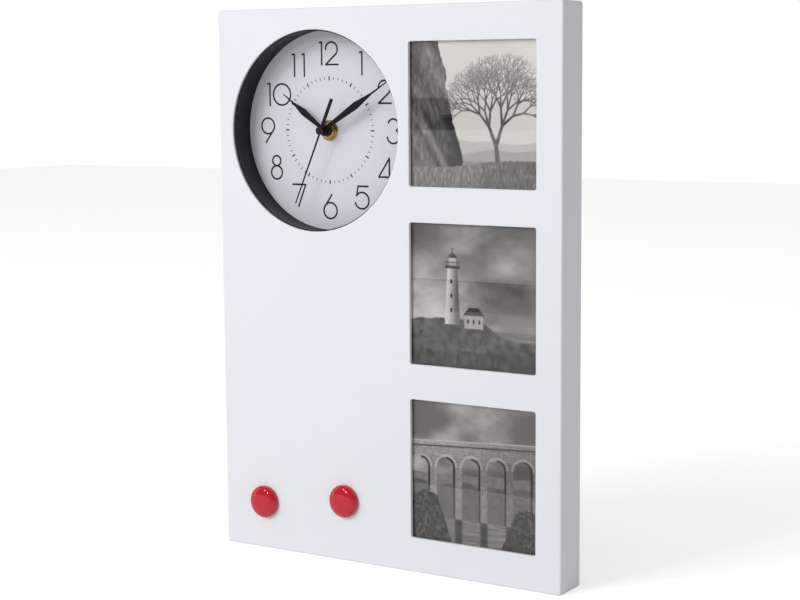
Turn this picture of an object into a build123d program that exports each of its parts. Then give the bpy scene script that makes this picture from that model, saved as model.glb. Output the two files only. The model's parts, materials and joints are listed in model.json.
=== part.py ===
# Wall clock with three photo windows and a small magnet board, in one moulded white frame.
# X is the width, Y the depth (front faces -Y), Z the height; the origin is the centre of the bottom face.

import os
from math import atan2, cos, degrees, hypot, radians, sin

from build123d import *

os.makedirs("parts", exist_ok=True)

# Photo windows, a column near the right edge
window_size = 100.0
window_count = 3
window_margin = 25.0
window_gap = 25.0
window_corner_radius = 1.6
window_to_side = 19.7
window_pitch = window_size + window_gap

# Clock opening, between the left edge and the windows
clock_hole_radius = 72.25
clock_to_side = 11.85
clock_to_top = 15.25
clock_to_windows = 8.95

# Frame, as large as the clock and the windows need
frame_width = clock_to_side + 2 * clock_hole_radius + clock_to_windows + window_size + window_to_side
frame_height = 2 * window_margin + (window_count - 1) * window_pitch + window_size
frame_depth = 28.0
side_wall = 2.5
panel_thickness = 2.5
corner_radius = 2.2
inner_corner_radius = 1.0
front_edge_radius = 1.2
opening_edge_radius = 0.5
overrun = 1.0

front_y = -frame_depth / 2
back_y = frame_depth / 2
panel_back_y = front_y + panel_thickness
inside_width = frame_width - 2 * side_wall
inside_height = frame_height - 2 * side_wall

# Places of the windows and the clock
window_x = frame_width / 2 - window_to_side - window_size / 2
first_window_z = window_margin + window_size / 2
window_centres = [(window_x, first_window_z + n * window_pitch) for n in range(window_count)]
clock_x = clock_to_side + clock_hole_radius - frame_width / 2
clock_z = frame_height - clock_to_top - clock_hole_radius

# Photo stack behind each window
pane_overlap = 5.0
pane_size = window_size + 2 * pane_overlap
pane_thickness = 1.0
print_side_gap = 0.5
print_size = pane_size - 2 * print_side_gap
print_thickness = 0.25
board_side_gap = 0.2
board_size = pane_size - 2 * board_side_gap
board_thickness = 2.5
board_notch_radius = 8.0
pocket_clearance = 0.3
pocket_rib = 1.5
board_proud = 0.25
pane_back_y = panel_back_y + pane_thickness
print_back_y = pane_back_y + print_thickness
board_back_y = print_back_y + board_thickness
pocket_inside = pane_size + 2 * pocket_clearance
pocket_outside = pocket_inside + 2 * pocket_rib
pocket_back_y = board_back_y - board_proud

# Small screws
screw_shank_radius = 1.4
screw_head_radius = 2.7
screw_head_height = 1.4
screw_recess_width = 0.7
screw_recess_length = 3.2
screw_recess_depth = 0.8
pilot_clearance = 0.05
boss_radius = 3.5

# Turn buttons that hold the boards
button_thickness = 1.5
button_width = 7.4
button_length = 21.0
button_tail = 3.7
button_gap = 0.1
button_bore_clearance = 0.06
button_boss_offset = 5.0
button_side_inset = 25.0
button_side_shift = window_size / 2 - button_side_inset
button_screw_depth = 4.5
button_front_y = board_back_y + button_gap
button_boss_back_y = button_front_y - button_gap
button_back_y = button_front_y + button_thickness

# Black cup behind the clock opening
cup_lip_gap = 0.2
cup_lip_recess = 1.5
cup_lip_wall = 0.7
cup_lip_depth = 1.2
cup_inside_step = 0.35
cup_inside_radius = clock_hole_radius + cup_inside_step
cup_wall = 1.5
cup_floor = 1.5
dial_thickness = 0.3
dial_edge_gap = 0.2
dial_radius = cup_inside_radius - dial_edge_gap
dial_to_back = 6.7
dial_y = back_y - dial_to_back
dial_back_y = dial_y + dial_thickness
cup_back_y = dial_back_y + cup_floor
cup_outside_radius = cup_inside_radius + cup_wall
cup_ear_count = 4
cup_ear_angle = 45.0
cup_ear_reach = 5.0
cup_ear_radius = 4.4
cup_ear_thickness = 2.0
cup_ear_front_y = panel_back_y + 7.0
cup_ear_circle = cup_outside_radius + cup_ear_reach
cup_ear_back_y = cup_ear_front_y + cup_ear_thickness
cup_screw_depth = 5.5

# Print on the dial
ink_thickness = 0.04
numeral_edge_gap = 16.9
numeral_circle = dial_radius - numeral_edge_gap
tick_gap = 17.9
tick_circle = numeral_circle - tick_gap
hour_tick_length = 3.1
hour_tick_width = 1.0
minute_tick_length = 2.0
minute_tick_width = 0.5
hours_on_dial = 12
minutes_on_dial = 60
minutes_per_hour_mark = minutes_on_dial // hours_on_dial
numeral_height = 17.5
numeral_stroke = 1.35
numeral_gap = 3.2
numeral_one_gap = 6.8
numeral_inset = {10: 3.6, 11: 1.0}

# Magnet board
plate_thickness = 0.5
plate_side_gap = 3.0
plate_left = -inside_width / 2 + plate_side_gap
plate_right = window_x - pocket_outside / 2 - plate_side_gap
plate_bottom = 12.0
plate_to_cup = 12.4
plate_top = clock_z - cup_outside_radius - plate_to_cup
plate_corner_radius = 3.0
plate_post_gap = 0.5
magnet_radius = 12.0
magnet_height = 6.0
magnet_edge_radius = 2.8
magnet_wall = 1.3
magnet_disc_thickness = 3.0
magnet_disc_gap = 0.1
left_magnet_inset = 31.0
left_magnet_z = 35.5
right_magnet_inset = 47.0
right_magnet_z = 44.5
magnet_places = {
    "left": (plate_left + left_magnet_inset, left_magnet_z),
    "right": (plate_right - right_magnet_inset, right_magnet_z),
}

# Hangers and wall bumpers
hanger_to_clock = 31.6
hanger_to_top = 11.0
hanger_x = hanger_to_clock - clock_x
hanger_z = frame_height - hanger_to_top
hanger_length = 44.0
hanger_width = 16.0
hanger_thickness = 1.2
hanger_entry_radius = 4.5
hanger_slot_width = 4.6
hanger_slot_rise = 5.4
hanger_entry_drop = 1.5
hanger_screw_spacing = 32.0
hanger_screw_depth = 6.0
hanger_boss_back_y = back_y - hanger_thickness
bumper_radius = 6.0
bumper_height = 12.0
bumper_edge = 1.0
bumper_peg_radius = 2.4
bumper_peg_length = 5.0
bumper_peg_clearance = 0.05
post_side_inset = 12.5
post_inset = 8.0
post_radius = 6.4
post_z_span = (post_inset, frame_height - post_inset)

# Movement: levels are measured from the front of its case towards the back
case_wall = 1.2
case_corner_radius = 2.0
case_split = 7.0
washer_rubber_thickness = 0.8
washer_rubber_radius = 10.0
washer_brass_thickness = 1.0
washer_brass_radius = 7.5
washer_edge = 0.25
washer_bore_clearance = 0.1
nut_height = 2.5
nut_radius = 5.4
nut_slot_width = 1.2
nut_slot_depth = 0.8
nut_clearance = 0.05
neck_radius = 4.0
neck_bore_radius = 2.62
neck_reach = 0.9
case_y = cup_back_y + washer_rubber_thickness
nut_back_y = dial_y - washer_brass_thickness
nut_front_y = nut_back_y - nut_height
neck_front_y = nut_front_y - neck_reach

# Battery bay along the bottom of the case
battery_radius = 7.25
battery_length = 50.5
battery_nub_radius = 2.75
battery_nub_length = 1.1
battery_edge_radius = 0.5
battery_side_gap = 0.35
battery_floor_gap = 0.1
battery_floor = 0.8
battery_end_room = 1.55
bay_wall = 1.0
battery_level = battery_floor + battery_floor_gap + battery_radius
contact_thickness = 0.3
contact_width = 8.0
contact_height = 10.0
contact_dimple_radius = 2.0
contact_gap = 0.15
contact_low_level = 3.0

# Gear train: the axes, seen from the front, are measured from the clock's centre
seconds_module = 0.28
rotor_module = 0.2
minute_module = 0.35
seconds_distance = 10.08
rotor_distance = 7.0
motion_distance = 8.4
third_direction = 60.0
intermediate_direction = 150.0
rotor_direction = 150.0
motion_direction = 0.0

rotor_teeth = 10
intermediate_wheel_teeth = 60
intermediate_pinion_teeth = 12
seconds_wheel_teeth = 60
seconds_pinion_teeth = 8
third_wheel_teeth = 64
third_pinion_teeth = 8
centre_wheel_teeth = 60
cannon_teeth = 12
minute_wheel_teeth = 36
minute_pinion_teeth = 10
hour_wheel_teeth = 40
setting_teeth = 12

centre_module = 2 * seconds_distance / (centre_wheel_teeth + third_pinion_teeth)
hour_module = 2 * motion_distance / (hour_wheel_teeth + minute_pinion_teeth)


def along(start, distance, direction):
    """The point at a distance from start, in degrees from +X towards +Z."""
    turn = radians(direction)
    return (start[0] + distance * cos(turn), start[1] + distance * sin(turn))


centre_axis = (clock_x, clock_z)
third_axis = along(centre_axis, seconds_distance, third_direction)
intermediate_axis = along(centre_axis, seconds_distance, intermediate_direction)
rotor_axis = along(intermediate_axis, rotor_distance, rotor_direction)
motion_axis = along(centre_axis, motion_distance, motion_direction)
setting_axis = along(motion_axis, motion_distance, motion_direction)

# Inside of the case, from the clock's centre: the battery sets its width, the train and the bay its height
train_side_room = 0.52
gear_bay_height = 37.4
case_inside = battery_length / 2 + battery_end_room
gear_low = -seconds_distance - train_side_room
gear_high = gear_low + gear_bay_height
bay_high = gear_low - bay_wall
bay_low = bay_high - 2 * (battery_radius + battery_side_gap)
battery_v = (bay_low + bay_high) / 2
case_width = 2 * (case_inside + case_wall)
case_height = gear_high - bay_low + 2 * case_wall
case_middle_v = (gear_high + bay_low) / 2

# Levels of the wheels, from the front of the case
hour_wheel_levels = (1.6, 2.6)
minute_pinion_levels = (1.4, 2.8)
minute_wheel_levels = (3.2, 4.2)
cannon_levels = (3.0, 4.6)
setting_pinion_levels = (3.0, 4.4)
centre_wheel_levels = (5.0, 6.0)
third_pinion_levels = (4.8, 6.2)
bridge_levels = (6.2, 6.8)
seconds_pinion_levels = (6.9, 8.4)
third_wheel_levels = (7.0, 8.0)
stator_levels = (8.6, 9.4)
rotor_magnet_levels = (8.0, 10.6)
seconds_wheel_levels = (9.4, 10.4)
intermediate_pinion_levels = (9.2, 10.8)
intermediate_wheel_levels = (11.4, 12.2)
rotor_pinion_levels = (11.2, 12.6)

# Shafts and tubes
running_clearance = 0.05
seat_clearance = 0.02
seconds_shaft_radius = 0.44
minute_tube_bore = seconds_shaft_radius + 0.06
minute_tube_radius = 1.6
hour_tube_bore = minute_tube_radius + 0.06
hour_tube_radius = 2.55
arbor_radius = 0.5
thin_arbor_radius = 0.4
rotor_pivot_radius = 0.25
motion_post_radius = 0.8
setting_pivot_radius = 0.8
setting_stem_radius = 1.5
end_gap = 0.2
pivot_boss_wall = 1.0
pivot_length = 1.2
pivot_end_gap = 0.1
motion_hub_radius = 1.3
seconds_hub_radius = 0.8
rear_hub_rise = 0.8
third_rear_level = intermediate_wheel_levels[0]
intermediate_rear_level = intermediate_wheel_levels[1] + end_gap
rotor_rear_level = rotor_pinion_levels[1] + end_gap
seconds_rear_level = seconds_wheel_levels[1] + rear_hub_rise
bearing_end_wall = 0.3
case_depth = rotor_rear_level + pivot_length + bearing_end_wall + case_wall

# Hands
hand_thickness = 0.4
hour_hand_front_y = nut_front_y - 3.2
minute_hand_front_y = hour_hand_front_y - 2.8
second_hand_front_y = minute_hand_front_y - 2.2
tube_reach = 0.5
hour_hand_over_ticks = 7.2
hour_hand_length = tick_circle + hour_hand_over_ticks
hour_hand_wide_at = 22.8
hour_hand_width = 5.3
hour_hub_radius = 4.0
hour_collet_length = 1.6
minute_hand_edge_gap = 5.4
minute_hand_length = dial_radius - minute_hand_edge_gap
minute_hand_wide_at = 34.0
minute_hand_width = 5.5
minute_hub_radius = 3.3
minute_collet_length = 1.4
hand_root_width = 2.0
hand_tip_width = 0.7
hand_neck_width = 1.3
hand_needle_share = 0.5
second_hand_edge_gap = 14.4
second_hand_length = dial_radius - second_hand_edge_gap
second_hand_root_width = 1.5
second_hand_tip_width = 0.9
second_tail_length = 25.0
second_tail_width = 2.8
second_hub_radius = 2.6
second_cap_radius = 2.9
second_cap_height = 2.2
second_cap_edge = 0.5
second_collet_length = 1.0
second_collet_radius = 1.5
hour_hand_angle = 305.8
minute_hand_angle = 58.0
second_hand_angle = 203.5

# Coil, stator and electronics, placed from the clock's centre
coil_top_gap = 3.4
coil_side_gap = 3.8
coil_v = gear_high - coil_top_gap
coil_left = coil_side_gap - case_inside
coil_right = -2.5
coil_level = 9.8
bobbin_end_gap = 4.1
coil_core_width = 3.0
coil_core_thickness = 0.8
bobbin_left = coil_left + bobbin_end_gap
bobbin_right = coil_right - bobbin_end_gap
bobbin_flange = 0.9
bobbin_radius = 2.9
bobbin_barrel_radius = 2.1
winding_radius = 2.75
rotor_magnet_radius = 1.6
rotor_hole_radius = 2.2
stator_arm_width = 3.5
stator_block_low = 3.5
stator_block_rise = 4.5
stator_block_left = 4.4
stator_block_right = 3.5
rotor_u = rotor_axis[0] - clock_x
rotor_v = rotor_axis[1] - clock_z
stator_low_v = rotor_v - stator_block_low
stator_cross_v = rotor_v + stator_block_rise
stator_screw_radius = 0.9
stator_screw_head_radius = 1.6
stator_screw_head_height = 0.8
board_left_u = 1.0
board_low_v = 14.6
circuit_thickness = 0.8
circuit_level = 8.6
chip_radius = 3.2
chip_height = 1.4
crystal_radius = 1.0
crystal_length = 6.0
post_rod_radius = 1.2
circuit_post_inset = 2.6
chip_inset = (8.0, 5.4)
chip_place = (board_left_u + chip_inset[0], board_low_v + chip_inset[1])
chip_edge_radius = 0.8
crystal_inset = (6.8, 4.8)
crystal_place = (case_inside - crystal_inset[0], gear_high - crystal_inset[1])
bridge_edge_gap = 0.3
bridge_post_inset = 2.4
bridge_post_u = case_inside - bridge_post_inset
bridge_post_v_span = (gear_low + bridge_post_inset, gear_high - bridge_post_inset)
bridge_post_radius = 1.5
bridge_third_hole_radius = 2.0
bridge_setting_hole_radius = 2.6

# Setting knob
knob_radius = 4.8
knob_recess_radius = 6.0
knob_recess_depth = 2.5
knob_recess_level = case_depth - knob_recess_depth
knob_thickness = 2.2
knob_recess_wall = 1.2
knob_grip_count = 18
knob_grip_radius = 0.35
knob_clearance = 0.2


def face_plane(y):
    """A sketch plane at depth y that faces the front: sketch x is the width, sketch y the height."""
    return Plane.XZ.offset(-y)


def level_plane(level):
    """The same plane at a level inside the movement."""
    return face_plane(case_y + level)


def movement(u, v):
    """A place on the movement, from the clock's centre."""
    return (clock_x + u, clock_z + v)


def finish(part, name, color):
    """Labels a finished piece and writes its file."""
    part.label = name
    part.color = Color(*color)
    export_step(part, f"parts/{name}.step")


white = (0.90, 0.91, 0.92)
black = (0.05, 0.05, 0.06)
steel = (0.66, 0.67, 0.69)
brass = (0.75, 0.60, 0.30)
clear = (0.80, 0.88, 0.92)
dial_white = (0.88, 0.88, 0.92)
movement_black = (0.10, 0.10, 0.11)
gear_white = (0.85, 0.85, 0.80)
red = (0.75, 0.08, 0.08)
copper = (0.72, 0.35, 0.15)
circuit_green = (0.10, 0.35, 0.18)
battery_grey = (0.30, 0.31, 0.33)
photo_grey = (0.55, 0.52, 0.50)
board_brown = (0.45, 0.33, 0.22)
full_turn = 360.0
half_turn = 180.0
quarter_turn = 90.0


def turn_button_places():
    """Each turn button's pivot and the direction in which it points over its board, in degrees."""
    places = []
    for x, z in window_centres:
        reach = pocket_inside / 2 + button_boss_offset
        places.append((x - button_side_shift, z + reach, -quarter_turn))
        places.append((x + button_side_shift, z - reach, quarter_turn))
    return places


def cup_ear_places():
    """The centres of the four ears round the cup."""
    step = full_turn / cup_ear_count
    return [along(centre_axis, cup_ear_circle, cup_ear_angle + n * step) for n in range(cup_ear_count)]


def hanger_screw_places():
    """The two screws of each hanger."""
    half = hanger_screw_spacing / 2
    return [(side * hanger_x + end * half, hanger_z) for side in (-1, 1) for end in (-1, 1)]


def post_places():
    """The four corner posts that carry the wall bumpers."""
    reach = frame_width / 2 - post_side_inset
    return [(side * reach, z) for side in (-1, 1) for z in post_z_span]


def add_boss(places, boss_back_y, radius, hole_depth):
    """Round bosses on the back of the front panel, each with a pilot hole, in the open part."""
    with BuildSketch(face_plane(boss_back_y)) as bosses:
        with Locations(*places):
            Circle(radius)
    extrude(bosses.sketch, amount=boss_back_y - panel_back_y)
    with BuildSketch(face_plane(boss_back_y)) as pilots:
        with Locations(*places):
            Circle(screw_shank_radius + pilot_clearance)
    extrude(pilots.sketch, amount=hole_depth, mode=Mode.SUBTRACT)


def add_pan_screws(places, seat_y, shank_length, shank_radius, head_radius, head_height):
    """Pan-head screws that go in towards the front, with a cross recess in each head."""
    with BuildSketch(face_plane(seat_y)) as shanks:
        with Locations(*places):
            Circle(shank_radius)
    extrude(shanks.sketch, amount=shank_length)
    with BuildSketch(face_plane(seat_y + head_height)) as heads:
        with Locations(*places):
            Circle(head_radius)
    extrude(heads.sketch, amount=head_height)
    share = head_radius / screw_head_radius
    with BuildSketch(face_plane(seat_y + head_height)) as recesses:
        with Locations(*places):
            Rectangle(screw_recess_length * share, screw_recess_width * share)
            Rectangle(screw_recess_width * share, screw_recess_length * share)
    extrude(recesses.sketch, amount=screw_recess_depth * share, mode=Mode.SUBTRACT)


# Front shell: one moulding with the panel, side walls, pockets, bosses and posts
with BuildPart() as front_shell:
    with BuildSketch(face_plane(back_y)):
        with Locations((0, frame_height / 2)):
            RectangleRounded(frame_width, frame_height, corner_radius)
    extrude(amount=frame_depth)
    fillet(front_shell.faces().sort_by(Axis.Y)[0].edges(), front_edge_radius)
    with BuildSketch(face_plane(back_y)):
        with Locations((0, frame_height / 2)):
            RectangleRounded(inside_width, inside_height, inner_corner_radius)
    extrude(amount=frame_depth - panel_thickness, mode=Mode.SUBTRACT)
    with BuildSketch(face_plane(pocket_back_y)):
        with Locations(*window_centres):
            Rectangle(pocket_outside, pocket_outside)
            Rectangle(pocket_inside, pocket_inside, mode=Mode.SUBTRACT)
    extrude(amount=pocket_back_y - panel_back_y)
    button_screws = [(x, z) for x, z, _ in turn_button_places()]
    add_boss(button_screws, button_boss_back_y, boss_radius, button_screw_depth)
    add_boss(cup_ear_places(), cup_ear_front_y, boss_radius, cup_screw_depth)
    add_boss(hanger_screw_places(), hanger_boss_back_y, boss_radius, hanger_screw_depth)
    with BuildSketch(face_plane(back_y)):
        with Locations(*post_places()):
            Circle(post_radius)
    extrude(amount=back_y - panel_back_y)
    with BuildSketch(face_plane(back_y)):
        with Locations(*post_places()):
            Circle(bumper_peg_radius + bumper_peg_clearance)
    extrude(amount=bumper_peg_length + overrun, mode=Mode.SUBTRACT)
    with BuildSketch(face_plane(panel_back_y + overrun)):
        with Locations(*window_centres):
            RectangleRounded(window_size, window_size, window_corner_radius)
        with Locations(centre_axis):
            Circle(clock_hole_radius)
    extrude(amount=panel_thickness + 2 * overrun, mode=Mode.SUBTRACT)
    front_face = front_shell.faces().filter_by(Axis.Y).sort_by(Axis.Y)[0]
    for opening in front_face.inner_wires():
        fillet(opening.edges(), opening_edge_radius)
finish(front_shell.part, "front_shell", white)


# Black cup behind the clock opening, with its lip in the opening and four ears
with BuildPart() as clock_cup:
    lip_front_y = front_y + cup_lip_recess
    lip_radius = clock_hole_radius - cup_lip_gap
    with BuildSketch(face_plane(cup_back_y)):
        with Locations(centre_axis):
            Circle(cup_outside_radius)
    extrude(amount=cup_back_y - panel_back_y)
    with BuildSketch(face_plane(panel_back_y)):
        with Locations(centre_axis):
            Circle(lip_radius)
    extrude(amount=panel_back_y - lip_front_y)
    with BuildSketch(face_plane(panel_back_y + cup_lip_depth)):
        with Locations(centre_axis):
            Circle(lip_radius - cup_lip_wall)
    extrude(amount=frame_depth, mode=Mode.SUBTRACT)
    with BuildSketch(face_plane(dial_back_y)):
        with Locations(centre_axis):
            Circle(cup_inside_radius)
    extrude(amount=dial_back_y - panel_back_y - cup_lip_depth, mode=Mode.SUBTRACT)
    with BuildSketch(face_plane(cup_ear_back_y)):
        for n, place in enumerate(cup_ear_places()):
            with Locations(place):
                Circle(cup_ear_radius)
            turn = cup_ear_angle + n * full_turn / cup_ear_count
            arm = cup_ear_reach + cup_wall
            with Locations(along(centre_axis, cup_ear_circle - arm / 2, turn)):
                Rectangle(arm, 2 * cup_ear_radius, rotation=turn)
        with Locations(centre_axis):
            Circle(cup_inside_radius + cup_wall / 2, mode=Mode.SUBTRACT)
    extrude(amount=cup_ear_thickness)
    with BuildSketch(face_plane(cup_ear_back_y)):
        with Locations(*cup_ear_places()):
            Circle(screw_shank_radius + running_clearance)
    extrude(amount=cup_ear_thickness, mode=Mode.SUBTRACT)
    with BuildSketch(face_plane(cup_back_y)):
        with Locations(centre_axis):
            Circle(neck_radius + washer_bore_clearance)
    extrude(amount=cup_floor, mode=Mode.SUBTRACT)
finish(clock_cup.part, "clock_cup", black)

with BuildPart() as cup_screws:
    add_pan_screws(
        cup_ear_places(), cup_ear_back_y, cup_screw_depth + cup_ear_thickness - end_gap,
        screw_shank_radius, screw_head_radius, screw_head_height,
    )
finish(cup_screws.part, "cup_screws", steel)


# Dial and its print
with BuildPart() as dial:
    with BuildSketch(face_plane(dial_back_y)):
        with Locations(centre_axis):
            Circle(dial_radius)
            Circle(neck_radius + washer_bore_clearance, mode=Mode.SUBTRACT)
    extrude(amount=dial_thickness)
finish(dial.part, "dial", dial_white)

with BuildPart() as minute_marks:
    with BuildSketch(face_plane(dial_y)):
        for n in range(minutes_on_dial):
            turn = quarter_turn - n * full_turn / minutes_on_dial
            on_hour = n % minutes_per_hour_mark == 0
            length = hour_tick_length if on_hour else minute_tick_length
            width = hour_tick_width if on_hour else minute_tick_width
            with Locations(along(centre_axis, tick_circle, turn)):
                Rectangle(length, width, rotation=turn)
    extrude(amount=ink_thickness)
finish(minute_marks.part, "minute_marks", black)

# Numerals: strokes on a cell one unit high, with the baseline at 0; arcs are centre, radii, start, sweep
digit_width_share = {
    0: 0.96, 1: 0.12, 2: 0.70, 3: 0.72, 4: 0.74, 5: 0.74, 6: 0.72, 7: 0.71, 8: 0.62, 9: 0.72,
}


def arc(centre, radius, start, sweep):
    """A round stroke, in shares of the numeral's height."""
    return ("arc", centre, radius, start, sweep)


def line(*points):
    """A straight or bent stroke, in shares of the numeral's height."""
    return ("line", points)


digit_shares = {
    0: [arc((0.48, 0.50), 0.48, 0, 360)],
    1: [line((0.12, 0.00), (0.12, 1.00), (0.00, 0.98))],
    2: [arc((0.33, 0.68), 0.32, 180, -222), line((0.568, 0.466), (0.02, 0.00), (0.68, 0.00))],
    3: [arc((0.33, 0.75), 0.28, 157, -211), arc((0.33, 0.26), 0.31, 58, -232)],
    4: [line((0.58, -0.02), (0.58, 1.02), (0.02, 0.18), (0.74, 0.18))],
    5: [line((0.70, 1.00), (0.16, 1.00), (0.09, 0.58)), arc((0.37, 0.36), 0.37, 142, -305)],
    6: [arc((0.36, 0.32), 0.36, 0, 360), line((0.44, 1.04), (0.05, 0.50))],
    7: [line((0.00, 1.00), (0.71, 1.00), (0.31, 0.00))],
    8: [arc((0.31, 0.80), 0.23, 0, 360), arc((0.31, 0.265), 0.305, 0, 360)],
    9: [arc((0.36, 0.67), 0.36, 0, 360), line((0.24, -0.08), (0.67, 0.50))],
}


def draw_stroke(stroke, left, bottom):
    """Adds one stroke of a numeral to the open sketch, with round ends."""
    size = numeral_height - numeral_stroke

    def place(share):
        return (left + share[0] * size, bottom + share[1] * size)

    if stroke[0] == "arc":
        _, centre, radius, start, sweep = stroke
        outer = radius * size + numeral_stroke / 2
        inner = radius * size - numeral_stroke / 2
        if abs(sweep) == full_turn:
            with Locations(place(centre)):
                Circle(outer)
                Circle(inner, mode=Mode.SUBTRACT)
            return
        with BuildLine() as path:
            CenterArc(place(centre), radius * size, start, sweep)
        trace(path.line, numeral_stroke)
        ends = [path.line @ 0, path.line @ 1]
    else:
        points = [place(share) for share in stroke[1]]
        for first, last in zip(points[:-1], points[1:]):
            middle = ((first[0] + last[0]) / 2, (first[1] + last[1]) / 2)
            length = hypot(last[0] - first[0], last[1] - first[1])
            slope = degrees(atan2(last[1] - first[1], last[0] - first[0]))
            with Locations(middle):
                Rectangle(length, numeral_stroke, rotation=slope)
        ends = points
    with Locations(*ends):
        Circle(numeral_stroke / 2)


with BuildPart() as dial_numerals:
    for hour in range(1, hours_on_dial + 1):
        digits = [int(mark) for mark in str(hour)]
        size = numeral_height - numeral_stroke
        widths = [digit_width_share[digit] * size for digit in digits]
        gap = numeral_one_gap if digits == [1, 1] else numeral_gap
        total = sum(widths) + gap * (len(digits) - 1)
        circle = numeral_circle - numeral_inset.get(hour, 0.0)
        middle = along(centre_axis, circle, quarter_turn - hour * full_turn / hours_on_dial)
        left = middle[0] - total / 2
        bottom = middle[1] - size / 2
        for digit, width in zip(digits, widths):
            with BuildSketch(face_plane(dial_y)):
                for stroke in digit_shares[digit]:
                    draw_stroke(stroke, left, bottom)
            extrude(amount=ink_thickness)
            left += width + gap
finish(dial_numerals.part, "dial_numerals", black)


# Washers and nut that hold the movement to the cup
with BuildPart() as rubber_washer:
    with BuildSketch(face_plane(case_y)):
        with Locations(centre_axis):
            Circle(washer_rubber_radius)
            Circle(neck_radius + washer_bore_clearance, mode=Mode.SUBTRACT)
    extrude(amount=washer_rubber_thickness)
finish(rubber_washer.part, "rubber_washer", black)

with BuildPart() as brass_washer:
    with BuildSketch(face_plane(dial_y)):
        with Locations(centre_axis):
            Circle(washer_brass_radius)
            Circle(neck_radius + washer_bore_clearance, mode=Mode.SUBTRACT)
    extrude(amount=washer_brass_thickness)
    chamfer(brass_washer.faces().sort_by(Axis.Y)[0].edges().sort_by(SortBy.LENGTH)[-1], washer_edge)
finish(brass_washer.part, "brass_washer", brass)

with BuildPart() as brass_nut:
    with BuildSketch(face_plane(nut_back_y)):
        with Locations(centre_axis):
            Circle(nut_radius)
            Circle(neck_radius + nut_clearance, mode=Mode.SUBTRACT)
    extrude(amount=nut_height)
    with BuildSketch(face_plane(nut_front_y + nut_slot_depth)):
        with Locations(centre_axis):
            Rectangle(2 * nut_radius + overrun, nut_slot_width)
    extrude(amount=nut_slot_depth + overrun, mode=Mode.SUBTRACT)
finish(brass_nut.part, "brass_nut", brass)


# Movement case
def add_rod(axis, radius, low, high):
    """A round rod or boss between two levels, in the open part."""
    with BuildSketch(level_plane(high)) as section:
        with Locations(axis):
            Circle(radius)
    extrude(section.sketch, amount=high - low)


def cut_bore(axis, radius, low, high):
    """A round hole between two levels, in the open part."""
    with BuildSketch(level_plane(high)) as section:
        with Locations(axis):
            Circle(radius)
    extrude(section.sketch, amount=high - low, mode=Mode.SUBTRACT)


def cut_bay(low_v, high_v, low, high):
    """A rectangular hollow as wide as the inside of the case."""
    with BuildSketch(level_plane(high)) as section:
        with Locations(movement(0, (low_v + high_v) / 2)):
            Rectangle(2 * case_inside, high_v - low_v)
    extrude(section.sketch, amount=high - low, mode=Mode.SUBTRACT)


bridge_post_places = [movement(u, v) for u in (-bridge_post_u, bridge_post_u) for v in bridge_post_v_span]

with BuildPart() as movement_front_case:
    with BuildSketch(level_plane(case_split)):
        with Locations(movement(0, case_middle_v)):
            RectangleRounded(case_width, case_height, case_corner_radius)
    extrude(amount=case_split)
    cut_bay(gear_low, gear_high, case_wall, case_split + overrun)
    cut_bay(bay_low, bay_high, battery_floor, case_split + overrun)
    with BuildSketch(face_plane(case_y + case_wall)):
        with Locations(centre_axis):
            Circle(neck_radius)
    extrude(amount=case_y + case_wall - neck_front_y)
    cut_bore(centre_axis, neck_bore_radius, neck_front_y - case_y - overrun, case_wall + overrun)
    for place in bridge_post_places:
        add_rod(place, bridge_post_radius, case_wall, bridge_levels[0])
    add_rod(motion_axis, motion_post_radius, case_wall, minute_wheel_levels[1] + end_gap)
    third_post_top = third_pinion_levels[0] - end_gap
    add_rod(third_axis, arbor_radius + pivot_boss_wall, case_wall, third_post_top)
    cut_bore(third_axis, arbor_radius + running_clearance, third_post_top - pivot_length, third_post_top)
    setting_post_top = setting_pinion_levels[0] - end_gap
    add_rod(setting_axis, setting_pivot_radius + pivot_boss_wall, case_wall, setting_post_top)
    cut_bore(
        setting_axis, setting_pivot_radius + running_clearance,
        setting_post_top - pivot_length, setting_post_top,
    )
finish(movement_front_case.part, "movement_front_case", movement_black)


def add_rear_bearing(axis, radius, boss_low):
    """A blind bearing on the inside of the rear wall, in the open part."""
    add_rod(axis, radius + pivot_boss_wall, boss_low, case_depth - case_wall)
    cut_bore(axis, radius + running_clearance, boss_low, boss_low + pivot_length)


with BuildPart() as movement_rear_case:
    with BuildSketch(level_plane(case_depth)):
        with Locations(movement(0, case_middle_v)):
            RectangleRounded(case_width, case_height, case_corner_radius)
    extrude(amount=case_depth - case_split)
    cut_bay(gear_low, gear_high, case_split - overrun, case_depth - case_wall)
    cut_bay(bay_low, bay_high, case_split - overrun, case_depth + overrun)
    knob_cup_level = knob_recess_level - knob_recess_wall
    add_rod(setting_axis, knob_recess_radius + knob_recess_wall, knob_cup_level, case_depth)
    cut_bore(setting_axis, knob_recess_radius, knob_recess_level, case_depth + overrun)
    cut_bore(setting_axis, setting_stem_radius + running_clearance, case_split, case_depth)
    add_rear_bearing(third_axis, arbor_radius, third_rear_level)
    add_rear_bearing(intermediate_axis, thin_arbor_radius, intermediate_rear_level)
    add_rear_bearing(rotor_axis, rotor_pivot_radius, rotor_rear_level)
    add_rear_bearing(centre_axis, seconds_shaft_radius, seconds_rear_level)
finish(movement_rear_case.part, "movement_rear_case", movement_black)

stator_posts = [
    movement(coil_left + stator_arm_width / 2, coil_v),
    movement(coil_right - stator_arm_width / 2, coil_v),
]
circuit_posts = [
    movement(board_left_u + circuit_post_inset, gear_high - circuit_post_inset),
    movement(case_inside - circuit_post_inset, gear_high - circuit_post_inset),
    movement(case_inside - circuit_post_inset, board_low_v + circuit_post_inset),
]

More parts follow.
